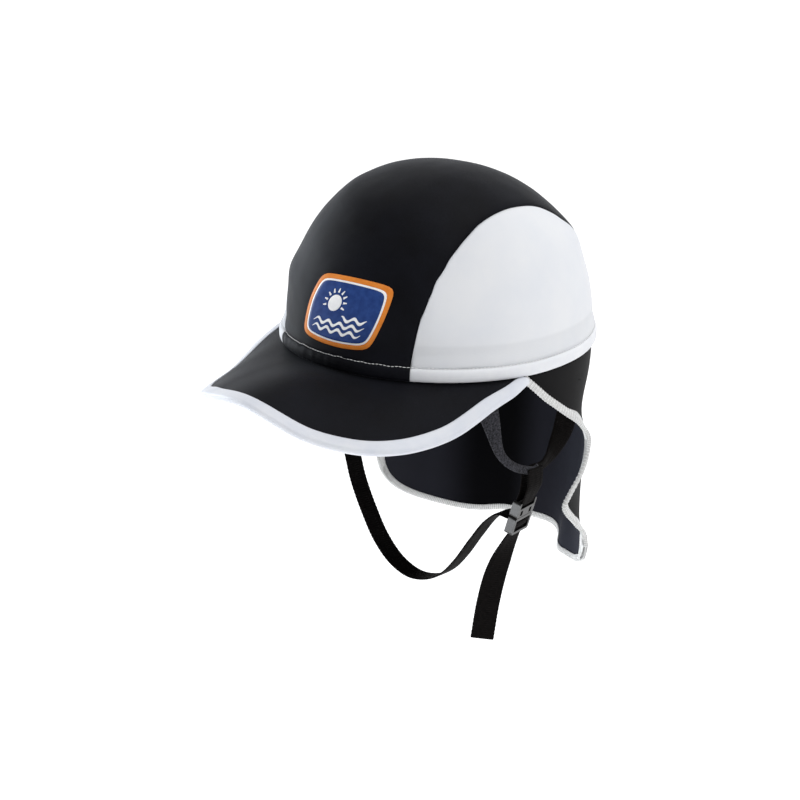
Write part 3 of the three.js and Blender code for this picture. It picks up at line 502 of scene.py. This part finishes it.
# %% [markdown]
# ## Hem band and its stitches
# The band is a strip of cloth rolled over the edge of the crown. It is a soft, slightly flattened
# tube. Sewing gathers it, so it has small puckers, which are stronger on the black front length.
# A row of white stitches runs round its upper edge.

# %% Hem band
HEM_RADIUS, HEM_METRES_PER_DEGREE = 82, 0.00143
FRONT_PUCKER, SIDE_PUCKER, BACK_PUCKER = 0.28, 0.1, 0.2


def hem_point(turn_deg, angle, pucker):
    c, s = math.cos(angle), math.sin(angle)
    middle_out, half_out = (HEM_BULGE - HEM_ROLL) / 2, (HEM_BULGE + HEM_ROLL) / 2
    out = middle_out + half_out * math.copysign(abs(c) ** 0.8, c)
    height = HEM_HEIGHT / 2 * (1 + 0.98 * math.copysign(abs(s) ** 0.75, s))
    length = math.radians(turn_deg) * HEM_RADIUS
    wave = noise.noise(Vector((length * 0.3, height * 0.12, 3.0)))
    wave += 0.6 * noise.noise(Vector((length * 0.12, 1.0, 0.0)))
    out += pucker * wave * max(c, 0.0)
    height += pucker * 0.5 * noise.noise(Vector((length * 0.2, 7.0, 0.0)))
    return opening_point(turn_deg, -out, height)


def hem_band(name, start, end, steps, pucker, material, slot):
    bm = laid_grid(steps, 20, lambda a, d: hem_point(blend(start, end, a), d * 2 * math.pi, pucker),
                   (abs(end - start) * HEM_METRES_PER_DEGREE, 0.02))
    bmesh.ops.remove_doubles(bm, verts=bm.verts, dist=2 * MERGE_DISTANCE)
    bmesh.ops.holes_fill(bm, edges=[e for e in bm.edges if e.is_boundary], sides=0)
    bmesh.ops.recalc_face_normals(bm, faces=bm.faces)
    cap_piece(name, bm, material, slot, name)


HEM_GAP = 0.12
BLACK_END, WHITE_END = SIDE_START - HEM_GAP, SIDE_START + HEM_GAP
hem_band("hem_band_front", -BLACK_END, BLACK_END, 150, FRONT_PUCKER, black_cloth, "black_cloth")
hem_band("hem_band_left", WHITE_END, 180 - WHITE_END, 220, SIDE_PUCKER, white_band, "white_cloth")
hem_band("hem_band_right", -WHITE_END, WHITE_END - 180, 220, SIDE_PUCKER, white_band, "white_cloth")
hem_band("hem_band_back", 180 - BLACK_END, 180 + BLACK_END, 150, BACK_PUCKER, black_cloth, "black_cloth")

# %% Stitches along the hem
SEAM_LENGTH, STITCH_PITCH, STITCH_LENGTH, STITCH_RADIUS, STITCH_ANGLE = 515, 2.1, 1.9, 0.2, 1.25


def thread_stitch(bm, middle, along, out, length, radius):
    """One stitch: a small ball drawn out along the seam and set into the cloth."""
    side = along.cross(out).normalized()
    turned = Matrix((along, side, out)).transposed().to_4x4()
    sized = Matrix.Diagonal((length / 2, radius, radius, 1.0))
    placed = Matrix.Translation(middle * MM) @ turned @ sized
    bmesh.ops.create_icosphere(bm, subdivisions=1, radius=MM, matrix=placed)


def seam_of_stitches(name, place):
    bm = bmesh.new()
    count = int(SEAM_LENGTH / STITCH_PITCH)
    for k in range(count):
        share = (k + 0.5) / count
        point = place(share)
        along = (place(min(share + 0.002, 1)) - place(max(share - 0.002, 0))).normalized()
        out = Vector((point.x, point.y, 0)).normalized()
        out = (out - along * out.dot(along)).normalized()
        thread_stitch(bm, point, along, out, STITCH_LENGTH, STITCH_RADIUS)
    cap_piece(name, bm, white_thread, "white_trim")


def hem_stitch_place(share):
    turn_deg = blend(-SIDE_START + 1.0, 360 - SIDE_START - 1.0, share)
    rise_off = 0.5 * noise.noise(Vector((share * 90, 5.0, 0.0)))
    pucker = FRONT_PUCKER if abs(turn_deg) < SIDE_START else SIDE_PUCKER
    return hem_point(turn_deg, STITCH_ANGLE, pucker) + Vector((0, 0, 0.25 + rise_off))


seam_of_stitches("hem_stitches", hem_stitch_place)

# %% [markdown]
# ## Brim and binding
# The brim is a stiff board in cloth. It reaches out furthest in the middle and droops at the
# sides, with a slight round between hem and edge. Its edge is bound with a padded satin tape, which
# is flat where it is sewn on and plump at the rim.

# %% Brim
BRIM_TURN, ROOT_RAISE = 77, 0.9


def brim_reach(turn_deg):
    return read_table(BRIM_EDGE, "turn", "reach", turn_deg) * BRIM_REACH


def brim_point(a, d):
    turn_deg = blend(BRIM_TURN, -BRIM_TURN, a)
    d = max(d, 0.0)
    reach = brim_reach(turn_deg) - BINDING_HALF
    drop = read_table(BRIM_EDGE, "turn", "drop", turn_deg) * BRIM_DROP
    drawn_in = blend(BRIM_TUCK, -reach, d)
    camber = BRIM_CAMBER * math.sin(math.pi * d) * reach / BRIM_REACH
    root = ROOT_RAISE * max(1 - d * 8, 0.0) ** 2
    return opening_point(turn_deg, drawn_in, -0.3 - drop * d ** BRIM_CURL + camber + root)


bm = laid_grid(150, 48, brim_point, (0.22, 0.065))
faces_outwards(bm, Vector((0, -60, -300)))
cap_piece("brim", bm, black_cloth, "black_cloth", "brim", wall=BRIM_WALL)

# %% Folded tape over an edge
PROBE, KEPT_IN, LEG_SHARE = 0.004, 0.006, 0.33


def square_to(at, a, d):
    """Direction square to a surface at(a, d)."""
    a, d = (min(max(share, KEPT_IN), 1 - KEPT_IN) for share in (a, d))
    along = at(a + PROBE, d) - at(a - PROBE, d)
    down = at(a, d + PROBE) - at(a, d - PROBE)
    return along.cross(down).normalized()


def edge_frame(at, edge, share):
    """Place on an edge, the way into the cloth, and the step of a and d for one millimetre."""
    a, d = edge(share)
    ca, cd = (min(max(place, PROBE), 1 - PROBE) for place in (a, d))
    along_a = (at(ca + PROBE, cd) - at(ca - PROBE, cd)) / (2 * PROBE)
    along_d = (at(ca, cd + PROBE) - at(ca, cd - PROBE)) / (2 * PROBE)
    along = (at(*edge(min(share + 0.003, 1.0))) - at(*edge(max(share - 0.003, 0.0)))).normalized()
    inward = square_to(at, a, d).cross(along).normalized()
    aa, ad, dd = along_a.dot(along_a), along_a.dot(along_d), along_d.dot(along_d)
    ia, id_ = along_a.dot(inward), along_d.dot(inward)
    size = aa * dd - ad * ad
    return (a, d), inward, ((ia * dd - id_ * ad) / size, (id_ * aa - ia * ad) / size)


def tape_surface(at, wall, edge, width, rim, root):
    """Outer face of a tape folded over an edge: share runs along it, and t from leg to leg."""
    frames = {}

    def place(share, t):
        key = round(share, 6)
        if key not in frames:
            frames[key] = edge_frame(at, edge, share)
        (a, d), inward, step = frames[key]
        bend = min(max((t - LEG_SHARE) / (1 - 2 * LEG_SHARE), 0.0), 1.0) * math.pi
        leg = max(LEG_SHARE - t, t - (1 - LEG_SHARE), 0.0) / LEG_SHARE
        lift = blend(root, rim, math.sqrt(max(1 - leg * leg, 0.0)))
        la, ld = a + step[0] * width(share) * leg, d + step[1] * width(share) * leg
        normal = square_to(at, la, ld)
        return at(la, ld) - inward * (rim * math.sin(bend)) - normal * (wall / 2 + lift * math.cos(bend))

    return place


def brim_edge(share):
    return (1 - share, 1.0)


def binding_width(share):
    """Width on the cloth; towards the ears it narrows, drawn under the band of the hem."""
    return (BINDING_WIDTH - BINDING_HALF) * (1 - 0.5 * abs(2 * share - 1) ** 8)


binding_face = tape_surface(brim_point, BRIM_WALL, brim_edge, binding_width, BINDING_HALF,
                            BRIM_WALL / 2 + 0.35)


def binding_place(a, d):
    point = binding_face(a, d)
    return point + Vector((0, 0, 0.12 * noise.noise(point * 0.09)))


bm = laid_grid(220, 30, binding_place, (0.28, 0.02))
bmesh.ops.recalc_face_normals(bm, faces=bm.faces)
cap_piece("brim_binding", bm, white_tape, "white_trim", "brim_binding", wall=0.7)

# %% [markdown]
# ## Neck flap
# The flap hangs from the hem round the back of the head. It has a few soft folds, its left front
# edge waves back, out and back again, and its lower corner is swept back. Its cut is wider at the
# hem than below. An overlock seam covers the whole free edge: a flat white band of thread with
# slanted loops over the edge.

# %% Flap


def flap_point(a, d):
    across = 2 * a - 1
    down = d * read_table(FLAP_HEM, "across", "drop", across)
    side = "left" if across > 0 else "right"
    plain = read_table(FLAP_EDGE, "down", "right", down)
    edge = read_table(FLAP_EDGE, "down", side, down)
    turn_deg = 180 - across * (180 - blend(plain, edge, abs(across) ** 3))
    push = read_table(FLAP_EDGE, "down", "flare", down) * across ** 6 if across > 0 else 0.0
    for fold_turn, fold_down, wide, tall, depth in FLAP_FOLDS:
        push += depth * hill(turn_deg - fold_turn, wide) * hill(down - fold_down, tall)
    return opening_point(turn_deg, FLAP_SET_IN - push * OPENING["side"], -0.3 - down * FLAP_DROP)


def flap_column(a):
    return (1 + math.sin((a - 0.5) * math.pi)) / 2


def flap_cloth_point(a, d):
    point = flap_point(flap_column(a), d)
    if d == 0:
        point.z += 1.5
    return point


bm = laid_grid(150, 84, flap_cloth_point, (0.28, 0.12))
faces_outwards(bm, Vector((0, 10, -60)))
flap_area = sum(f.calc_area() for f in bm.faces)
flap = cap_piece("flap", bm, flap_cloth, "black_cloth", "flap", wall=FLAP_WALL)
flap.data.materials.append(flap_inside_painted_shade)
flap.modifiers["wall"].material_offset = 1
print("flap area in square metres:", round(flap_area, 4))

# %% Overlocked edge
TRIM_WIDTH, TRIM_HALF = 3.4, 1.0
FRONT_SHARE = 0.205
TRIM_START, EDGE_STEPS = 0.012, 400


def flap_edge(share):
    across = 1 - min(max((share - FRONT_SHARE) / (1 - 2 * FRONT_SHARE), 0.0), 1.0)
    front = min(share / FRONT_SHARE, (1 - share) / FRONT_SHARE, 1.0)
    return (flap_column(across), blend(TRIM_START, 1.0, front))


trim_face = tape_surface(flap_point, FLAP_WALL, flap_edge, lambda share: TRIM_WIDTH - TRIM_HALF,
                         TRIM_HALF, 0.75)
edge_places = [flap_point(*flap_edge(k / EDGE_STEPS)) for k in range(EDGE_STEPS + 1)]
trim_length = sum((q - p).length for p, q in zip(edge_places, edge_places[1:]))
bm = laid_grid(420, 14, trim_face, (trim_length * MM, 0.012))
bmesh.ops.recalc_face_normals(bm, faces=bm.faces)
trim = cap_piece("flap_trim", bm, trim_thread_and_gap_shade, "white_trim", "flap_trim", wall=0.5)
print("overlocked edge in mm:", round(trim_length))

# %% Overlock loops
LOOP_PITCH, LOOP_RADIUS, LOOP_SLANT, LOOP_LIFT = 1.25, 0.21, 0.55, 0.12
LOOP_STEPS, LOOP_SIDES = 8, 5


def thread_tube(bm, path):
    """A thread along a path of points: a grid rolled round it."""
    steps = len(path) - 1

    def place(a, d):
        k = min(int(round(a * steps)), steps)
        along = (path[min(k + 1, steps)] - path[max(k - 1, 0)]).normalized()
        side = along.orthogonal().normalized()
        other = along.cross(side)
        angle = d * 2 * math.pi
        return path[k] + (side * math.cos(angle) + other * math.sin(angle)) * LOOP_RADIUS

    laid_grid(steps, LOOP_SIDES, place, (0.005, 0.001), bm)


bm = bmesh.new()
loop_count = int(trim_length / LOOP_PITCH)
for k in range(loop_count):
    share = (k + 0.5) / loop_count
    slant = LOOP_SLANT / loop_count
    path = []
    for j in range(LOOP_STEPS + 1):
        t = j / LOOP_STEPS
        place_share = min(max(share + slant * (t - 0.5) * 2, 0.0), 1.0)
        point = trim_face(place_share, t)
        path.append(point + (point - flap_point(*flap_edge(place_share))).normalized() * LOOP_LIFT)
    thread_tube(bm, path)
bmesh.ops.remove_doubles(bm, verts=bm.verts, dist=MERGE_DISTANCE)
overlock = cap_piece("flap_overlock_loops", bm, white_thread, "white_trim")

# %% [markdown]
# ## Straps
# The straps are flat woven webbing that bends the easy way only. Each is swept along a smooth curve
# through the places of its solid, with a rounded section and slightly scalloped edges, as the weft
# turns back there. The right strap runs under the chin, through the clip and down as a free tail.

# %% Smooth curve through places
CURVE_STEPS, SCALLOP_DEPTH, SCALLOP_PITCH = 40, 0.12, 2.2


def curve_piece(points, share):
    """The four places round a share of the curve, and the share between the middle two."""
    last = len(points) - 1
    k = min(int(share * last), last - 1)
    before = points[k - 1] if k > 0 else points[0] * 2 - points[1]
    after = points[k + 2] if k + 2 <= last else points[last] * 2 - points[last - 1]
    return before, points[k], points[k + 1], after, share * last - k


def curve_point(points, share):
    """Centripetal curve, which doesn't overshoot where places lie close together."""
    p0, p1, p2, p3, t = curve_piece(points, share)
    d0, d1, d2 = (math.sqrt(max((q - p).length, 1e-4)) for p, q in ((p0, p1), (p1, p2), (p2, p3)))
    start = ((p1 - p0) / d0 - (p2 - p0) / (d0 + d1) + (p2 - p1) / d1) * d1
    finish = ((p2 - p1) / d1 - (p3 - p1) / (d1 + d2) + (p3 - p2) / d2) * d1
    return (p1 + start * t + (p1 * -3 + p2 * 3 - start * 2 - finish) * t ** 2
            + (p1 * 2 - p2 * 2 + start + finish) * t ** 3)


def webbing_piece(name, places, material, nodes, steps_per_mm=0.9, gather=None):
    """Webbing along (place, way across) pairs; gather gives its width at a share.

    Its stations lie at even distances along the curve.
    """
    points = [p for p, _ in places]
    spans = len(points) - 1
    fine_steps = spans * CURVE_STEPS
    fine = [curve_point(points, k / fine_steps) for k in range(fine_steps + 1)]
    run = [0.0]
    for p, q in zip(fine, fine[1:]):
        run.append(run[-1] + (q - p).length)
    length = run[-1]
    steps = max(int(length * steps_per_mm), 8)
    stations = []
    j = 0
    for k in range(steps + 1):
        target = length * k / steps
        while j < len(run) - 2 and run[j + 1] < target:
            j += 1
        span = run[j + 1] - run[j]
        share = (j + (target - run[j]) / span if span else j) / fine_steps
        stations.append(min(max(share, 0.0), 1.0))
    frames = []
    for k, share in enumerate(stations):
        point = curve_point(points, share)
        ahead = curve_point(points, min(share + 0.002, 1))
        behind = curve_point(points, max(share - 0.002, 0))
        along = (ahead - behind).normalized()
        cell = min(int(share * spans), spans - 1)
        across = places[cell][1].lerp(places[cell + 1][1], share * spans - cell)
        face = along.cross(across).normalized()
        side = face.cross(along).normalized()
        frames.append((point, side, face))

    def place(a, d):
        k = min(int(round(a * steps)), steps)
        point, side, face = frames[k]
        angle = d * 2 * math.pi
        c, s = math.cos(angle), math.sin(angle)
        scallop = SCALLOP_DEPTH * math.cos(k / steps_per_mm * 2 * math.pi / SCALLOP_PITCH)
        width_share = gather(a) if gather else 1.0
        half = WEBBING_WIDTH / 2 * width_share + scallop
        wall = WEBBING_WALL / 2 * (1 + 0.8 * (1 - width_share))
        return (point + side * (half * math.copysign(abs(c) ** 0.35, c))
                + face * (wall * math.copysign(abs(s) ** 0.8, s)))

    bm = laid_grid(steps, 28, place, (length * MM, 0.0262))
    bmesh.ops.remove_doubles(bm, verts=bm.verts, dist=MERGE_DISTANCE)
    bmesh.ops.holes_fill(bm, edges=[e for e in bm.edges if e.is_boundary], sides=0)
    bmesh.ops.recalc_face_normals(bm, faces=bm.faces)
    print(f"{name}: {length:.0f} mm long")
    cap_piece(name, bm, material, "black_webbing", *nodes)


# %% Places of the straps
# Shares of STRAP to the left, forwards and down; a row of the tail ends with its turn
STRAP = {"side": OPENING["side"], "front": OPENING["front"], "down": 126.0}
CHIN = [(-0.885, 0.085, 0.12), (-0.74, 0.1, 0.34), (-0.58, 0.113, 0.555), (-0.51, 0.113, 0.665),
        (-0.39, 0.113, 0.79), (-0.267, 0.113, 0.89), (-0.12, 0.107, 0.965), (0.045, 0.1, 0.998),
        (0.2, 0.09, 0.983), (0.32, 0.082, 0.938), (0.42, 0.07, 0.865), (0.53, 0.058, 0.76),
        (0.64, 0.046, 0.665), (0.73, 0.036, 0.622)]
TAIL = [(0.78, 0.035, 0.755, 18), (0.742, 0.048, 0.825, 34), (0.712, 0.065, 0.905, 45),
        (0.692, 0.09, 1.02, 50), (0.682, 0.115, 1.165, 52)]
FRONT_BRANCH = [(0.822, 0.4, 0.1), (0.846, 0.36, 0.19), (0.88, 0.3, 0.312), (0.903, 0.238, 0.358),
                (0.925, 0.163, 0.388), (0.947, 0.088, 0.404)]
BACK_BRANCH = [(0.868, -0.39, 0.12), (0.87, -0.392, 0.22), (0.875, -0.36, 0.3), (0.882, -0.27, 0.37),
               (0.908, -0.17, 0.4), (0.928, -0.09, 0.41)]
JOIN, CLIP_PLACE = (0.947, 0.025, 0.413), (0.868, 0.025, 0.607)
GATHER, GATHER_START, GATHER_REACH = 0.64, 0.2, 0.5
UPRIGHT, BACKWARD, OUTWARD = Vector((0, 0, 1)), Vector((0, 1, 0)), Vector((1, 0, 0))


def strap_place(side, front, down):
    return Vector((side * STRAP["side"], -front * STRAP["front"], -down * STRAP["down"]))


def hem_anchor(turn_deg):
    """Two places inside the hem band where a webbing is sewn on."""
    drawn_in = HEM_ROLL + 0.3 + (WEBBING_WIDTH / 2) ** 2 / OPENING["side"] + WEBBING_WALL / 2
    across = opening_point(turn_deg + 1, drawn_in, 0) - opening_point(turn_deg - 1, drawn_in, 0)
    return [(opening_point(turn_deg, drawn_in, 0.7 * HEM_HEIGHT), across.copy()),
            (opening_point(turn_deg, drawn_in, -0.6 * HEM_HEIGHT), across.copy())]


def gathered(share):
    """The last stretch of a branch is folded lengthways, where the loop holds it."""
    return 1 - GATHER * smooth_step(share, GATHER_START, GATHER_REACH)


def branch_places(turn_deg, rows, layers_in, past, twists):
    anchor = hem_anchor(turn_deg)
    middle = []
    for k, row in enumerate(rows):
        before, after = strap_place(*rows[max(k - 1, 0)]), strap_place(*rows[min(k + 1, len(rows) - 1)])
        along = (after - before).normalized()
        out = anchor[1][1].cross(UPRIGHT).normalized().lerp(OUTWARD, k / (len(rows) - 1))
        across = Matrix.Rotation(math.radians(twists[k]), 3, along) @ along.cross(out).normalized()
        middle.append((strap_place(*row), across))
    join = strap_place(*JOIN) - OUTWARD * layers_in * LAYER
    across = middle[-1][1]
    return [*anchor, *middle, (join, across), (join + past, across)]


webbing_piece("chin_strap_left_front",
              branch_places(63, FRONT_BRANCH, 0, Vector((0, 3, 0.8)), (0, 0, 5, 10, 12, 10)),
              glint_webbing, ["chin_strap_left_front"], gather=gathered)
webbing_piece("chin_strap_left_back",
              branch_places(110, BACK_BRANCH, 1, Vector((0, -4, 0)), (15, 30, 40, 30, 10, 0)),
              black_webbing, ["chin_strap_left_back"], gather=lambda share: gathered(share - 0.22))

# %% Loop and chin strap
CLIP_LEAN, CLIP_TURN = 14, 7
SOCKET_LENGTH, LADDER_LENGTH, BAR_RADIUS, CLIP_DEPTH = 8.6, 9.6, 0.9, 4.6
WRAP_RADIUS = BAR_RADIUS + 0.3 + WEBBING_WALL / 2
clip_frame = (Matrix.Translation(strap_place(*CLIP_PLACE)) @ Matrix.Rotation(math.radians(CLIP_TURN), 4, "Z")
              @ Matrix.Rotation(math.radians(CLIP_LEAN), 4, "Y"))
clip_side = clip_frame.to_3x3() @ BACKWARD


def clip_point(x, z):
    return clip_frame @ Vector((x, 0, z))


def round_bar(height, start, end, count):
    angles = [math.radians(blend(start, end, k / (count - 1))) for k in range(count)]
    return [(clip_point(WRAP_RADIUS * math.cos(t), height + WRAP_RADIUS * math.sin(t)), clip_side)
            for t in angles]


def loop_end(layers_in, low):
    place = strap_place(*JOIN) + UPRIGHT * (1.6 - (9.6 if low else 0)) - OUTWARD * layers_in * LAYER
    return (place, BACKWARD)


socket_bar, ladder_bar = SOCKET_LENGTH - BAR_RADIUS, -LADDER_LENGTH * 0.46
webbing_piece("clip_loop", [loop_end(-1, False), loop_end(-1, True), *round_bar(socket_bar, 20, -200, 7),
                            loop_end(2, True), loop_end(2, False)], black_webbing, ["clip_loop"], 1.2)
tail_out = BAR_RADIUS - 0.3 - WEBBING_WALL / 2
tail = [(strap_place(s, f, d), Matrix.Rotation(-math.radians(twist), 3, "Z") @ clip_side)
        for s, f, d, twist in TAIL]
webbing_piece("chin_strap_right", [
    *hem_anchor(-86),
    *[(strap_place(*row), BACKWARD) for row in CHIN],
    (clip_point(-CLIP_DEPTH, ladder_bar + WRAP_RADIUS * 0.75), clip_side),
    *round_bar(ladder_bar, 115, -25, 5),
    (clip_point(WRAP_RADIUS * 0.55, ladder_bar - WRAP_RADIUS * 1.35), clip_side),
    (clip_point(tail_out, -LADDER_LENGTH * 0.92), clip_side),
    *tail,
], black_webbing, ["chin_strap_right"])

# %% [markdown]
# ## Clip
# The clip is moulded in black plastic. Its solids have the right shape, but moulded edges are never
# sharp. A copy of each solid is merged and gets a fine bevel, so that its edges catch the light.

# %% Clip halves
FLAT_ANGLE, SHARP_ANGLE, EDGE_ROUND = 3, 35, 0.3


def moulded(name):
    bm = bmesh.new()
    bm.from_mesh(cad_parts[name].data)
    bmesh.ops.remove_doubles(bm, verts=bm.verts, dist=MERGE_DISTANCE)
    bmesh.ops.dissolve_limit(bm, angle_limit=math.radians(FLAT_ANGLE), verts=bm.verts, edges=bm.edges)
    bmesh.ops.recalc_face_normals(bm, faces=bm.faces)
    piece = cap_piece(name + "_moulded", bm, black_plastic, "black_plastic", name, smooth=False)
    edges = piece.modifiers.new("edges", "BEVEL")
    edges.width = EDGE_ROUND * MM
    edges.segments = 3
    edges.limit_method = "ANGLE"
    edges.angle_limit = math.radians(SHARP_ANGLE)


moulded("clip_socket")
moulded("clip_ladder")

# %% [markdown]
# ## Badge
# The badge is a printed patch: an orange border, a thin white line and a blue ground with a plain
# sun over waves. Each colour is a thin layer laid on the one below, and all follow the round of the
# crown.

# %% Badge
BADGE = {"width": 45.0, "height": 33.5, "side": 4.0, "middle": 28.0, "lean": 0.22,
         "squareness": 11.0, "bulge": 0.09}
PRINT_LIFT, PRINT_WALL = 0.72, 0.12


def front_point(x, height):
    """Point of the crown's front at a distance to the left and a height."""
    low, high = 0.0, 1.0
    point = Vector()
    for _ in range(FRONT_HALVINGS):
        share = (low + high) / 2
        rim = SIDE_RIM * math.sin(share * math.pi / 2)
        point = crown_point(math.degrees(math.asin(min(max(x / rim, -1), 1))), share)
        if point.z > height:
            low = share
        else:
            high = share
    return point


def on_badge(across, rise_mm, lift):
    x = BADGE["side"] + across + BADGE["lean"] * rise_mm
    height = BADGE["middle"] + rise_mm
    point = front_point(x, height)
    sideways = front_point(x + 0.5, height) - front_point(x - 0.5, height)
    upwards = front_point(x, height + 0.5) - front_point(x, height - 0.5)
    return point + sideways.cross(upwards).normalized() * (lift + softness(point))


def badge_layer(name, inset, lift, material, nodes=()):
    def place(a, d):
        angle = a * 2 * math.pi
        c, s = math.cos(angle), math.sin(angle)
        n = BADGE["squareness"]
        edge = (abs(c) ** n + abs(s) ** n) ** (-1 / n)
        across, rise_share = c * edge, s * edge
        half_width = (BADGE["width"] / 2 - inset) * (1 - BADGE["bulge"] * rise_share ** 2)
        half_height = (BADGE["height"] / 2 - inset) * (1 - BADGE["bulge"] * across ** 2)
        return on_badge(across * d * half_width, rise_share * d * half_height, lift)

    bm = laid_grid(96, 14, place, (0.12, 0.02))
    bmesh.ops.remove_doubles(bm, verts=bm.verts, dist=MERGE_DISTANCE)
    faces_outwards(bm, CROWN_MIDDLE)
    cap_piece(name, bm, material, "badge_print", *nodes, wall=PRINT_WALL)


badge_orange, tree, shader = new_finish("badge_orange", (0.62, 0.17, 0.02), 0.5, 0.15)
two_tones(tree, shader, (0.62, 0.18, 0.02), (0.7, 0.225, 0.035), 0.006)
badge_white, tree, shader = new_finish("badge_white", (0.83, 0.83, 0.83), 0.5, 0.4)
two_tones(tree, shader, (0.79, 0.79, 0.8), (0.86, 0.86, 0.86), 0.004)
badge_blue, tree, shader = new_finish("badge_blue", (0.01, 0.035, 0.16), 0.5, 0.15)
two_tones(tree, shader, (0.01, 0.034, 0.15), (0.018, 0.052, 0.2), 0.003)
badge_layer("crown_badge_border", 0.0, 0.35, badge_orange, ["crown_badge"])
badge_layer("crown_badge_line", 2.2, 0.48, badge_white)
badge_layer("crown_badge_ground", 3.1, 0.6, badge_blue)

# %% Sun and waves on the badge
bm = bmesh.new()
SUN = {"x": -5.2, "z": 3.6, "radius": 3.9}


def sun_place(a, d):
    angle = a * 2 * math.pi
    reach = SUN["radius"] * d
    return on_badge(SUN["x"] + reach * math.cos(angle), SUN["z"] + reach * math.sin(angle), PRINT_LIFT)


laid_grid(48, 6, sun_place, (0.01, 0.01), bm)
RAYS = 9
for k in range(RAYS):
    angle = math.radians(blend(-18, 198, k / (RAYS - 1)))
    ray, across_ray = Vector((math.cos(angle), math.sin(angle))), Vector((-math.sin(angle), math.cos(angle)))

    def ray_place(a, d, ray=ray, across_ray=across_ray):
        reach = blend(5.0, 7.0, a)
        spot = ray * reach + across_ray * (blend(-0.55, 0.55, d) * blend(1.0, 0.45, a))
        return on_badge(SUN["x"] + spot.x, SUN["z"] + spot.y, PRINT_LIFT)

    laid_grid(6, 4, ray_place, (0.004, 0.002), bm)
for low, start, end in ((-2.6, 1.5, 15.2), (-6.0, -15.0, 15.2), (-9.3, -14.6, 14.6)):

    def wave_place(a, d, low=low, start=start, end=end):
        x = blend(start, end, a)
        middle = low + 1.0 * math.sin(x * 0.9)
        narrowed = min(1.0, 6 * a + 0.2, 6 * (1 - a) + 0.2)
        return on_badge(x, middle + blend(0.75, -0.75, d) * narrowed, PRINT_LIFT)

    laid_grid(64, 4, wave_place, (0.03, 0.002), bm)
bmesh.ops.remove_doubles(bm, verts=bm.verts, dist=MERGE_DISTANCE)
faces_outwards(bm, CROWN_MIDDLE)
cap_piece("crown_badge_sun_and_waves", bm, badge_white, "badge_print", wall=0.1)

# %% [markdown]
# ## Floor and light
# The cap is held up, so the pale floor lies well below it. The sky is bright behind the cap and
# dimmer on the camera's side, which keeps the black cloth deep. Three soft lights stand at the left,
# above, and where the side of the clip throws their light to the camera.

# %% Floor
FLOOR_SIZE, FLOOR_HEIGHT, FLOOR_GLOW = 30.0, -0.45, 0.42
bm = bmesh.new()
bmesh.ops.create_grid(bm, x_segments=1, y_segments=1, size=FLOOR_SIZE)
bmesh.ops.translate(bm, vec=(0, 0, FLOOR_HEIGHT), verts=bm.verts)
floor_mesh = bpy.data.meshes.new("floor")
bm.to_mesh(floor_mesh)
bm.free()
floor = bpy.data.objects.new("floor", floor_mesh)
bpy.context.scene.collection.objects.link(floor)
pale, tree, shader = new_finish("pale_floor", (0.9, 0.9, 0.9), 0.9, 0.1)
shader.inputs["Emission Color"].default_value = (1.0, 0.995, 0.995, 1.0)
shader.inputs["Emission Strength"].default_value = FLOOR_GLOW
floor_mesh.materials.append(pale)
print("floor at", FLOOR_HEIGHT)

# %% Light
world = bpy.data.worlds.new("studio")
world.use_nodes = True
tree = world.node_tree
toward = add_node(tree, "ShaderNodeTexCoord")
facing = add_node(tree, "ShaderNodeVectorMath", operation="DOT_PRODUCT")
facing.inputs[1].default_value = (-0.1, -0.975, 0.2)
studio = ranged(tree, -0.1, 0.75, 0.98, 0.34, interpolation_type="SMOOTHSTEP")
tree.links.new(toward.outputs["Generated"], facing.inputs[0])
tree.links.new(facing.outputs["Value"], studio.inputs["Value"])
tree.links.new(studio.outputs["Result"], tree.nodes["Background"].inputs["Strength"])
tree.nodes["Background"].inputs["Color"].default_value = (0.985, 0.99, 1.0, 1.0)
bpy.context.scene.world = world
bpy.context.scene.view_settings.view_transform = "Standard"


def soft_light(name, place, size, power, aim=(0, 0, -0.02), color=(1.0, 1.0, 1.0)):
    data = bpy.data.lights.new(name, "AREA")
    data.shape = "SQUARE"
    data.size = size
    data.energy = power
    data.color = color
    light = bpy.data.objects.new(name, data)
    light.location = place
    light.rotation_euler = (Vector(aim) - light.location).to_track_quat("-Z", "Y").to_euler()
    bpy.context.scene.collection.objects.link(light)


soft_light("key_light", Vector((-1.75, -0.1, 0.12)), 0.8, 14.0, color=(0.86, 0.93, 1.0))
soft_light("top_light", Vector((0.5, 0.1, 1.7)), 1.3, 15.0)
clip_middle = clip_frame.translation * MM
glare_way = 2 * away.dot(-clip_side) * -clip_side - away
soft_light("side_light", clip_middle + glare_way * 1.1, 0.35, 4.5, clip_middle, (0.92, 0.96, 1.0))
print("lights:", len(bpy.data.lights))
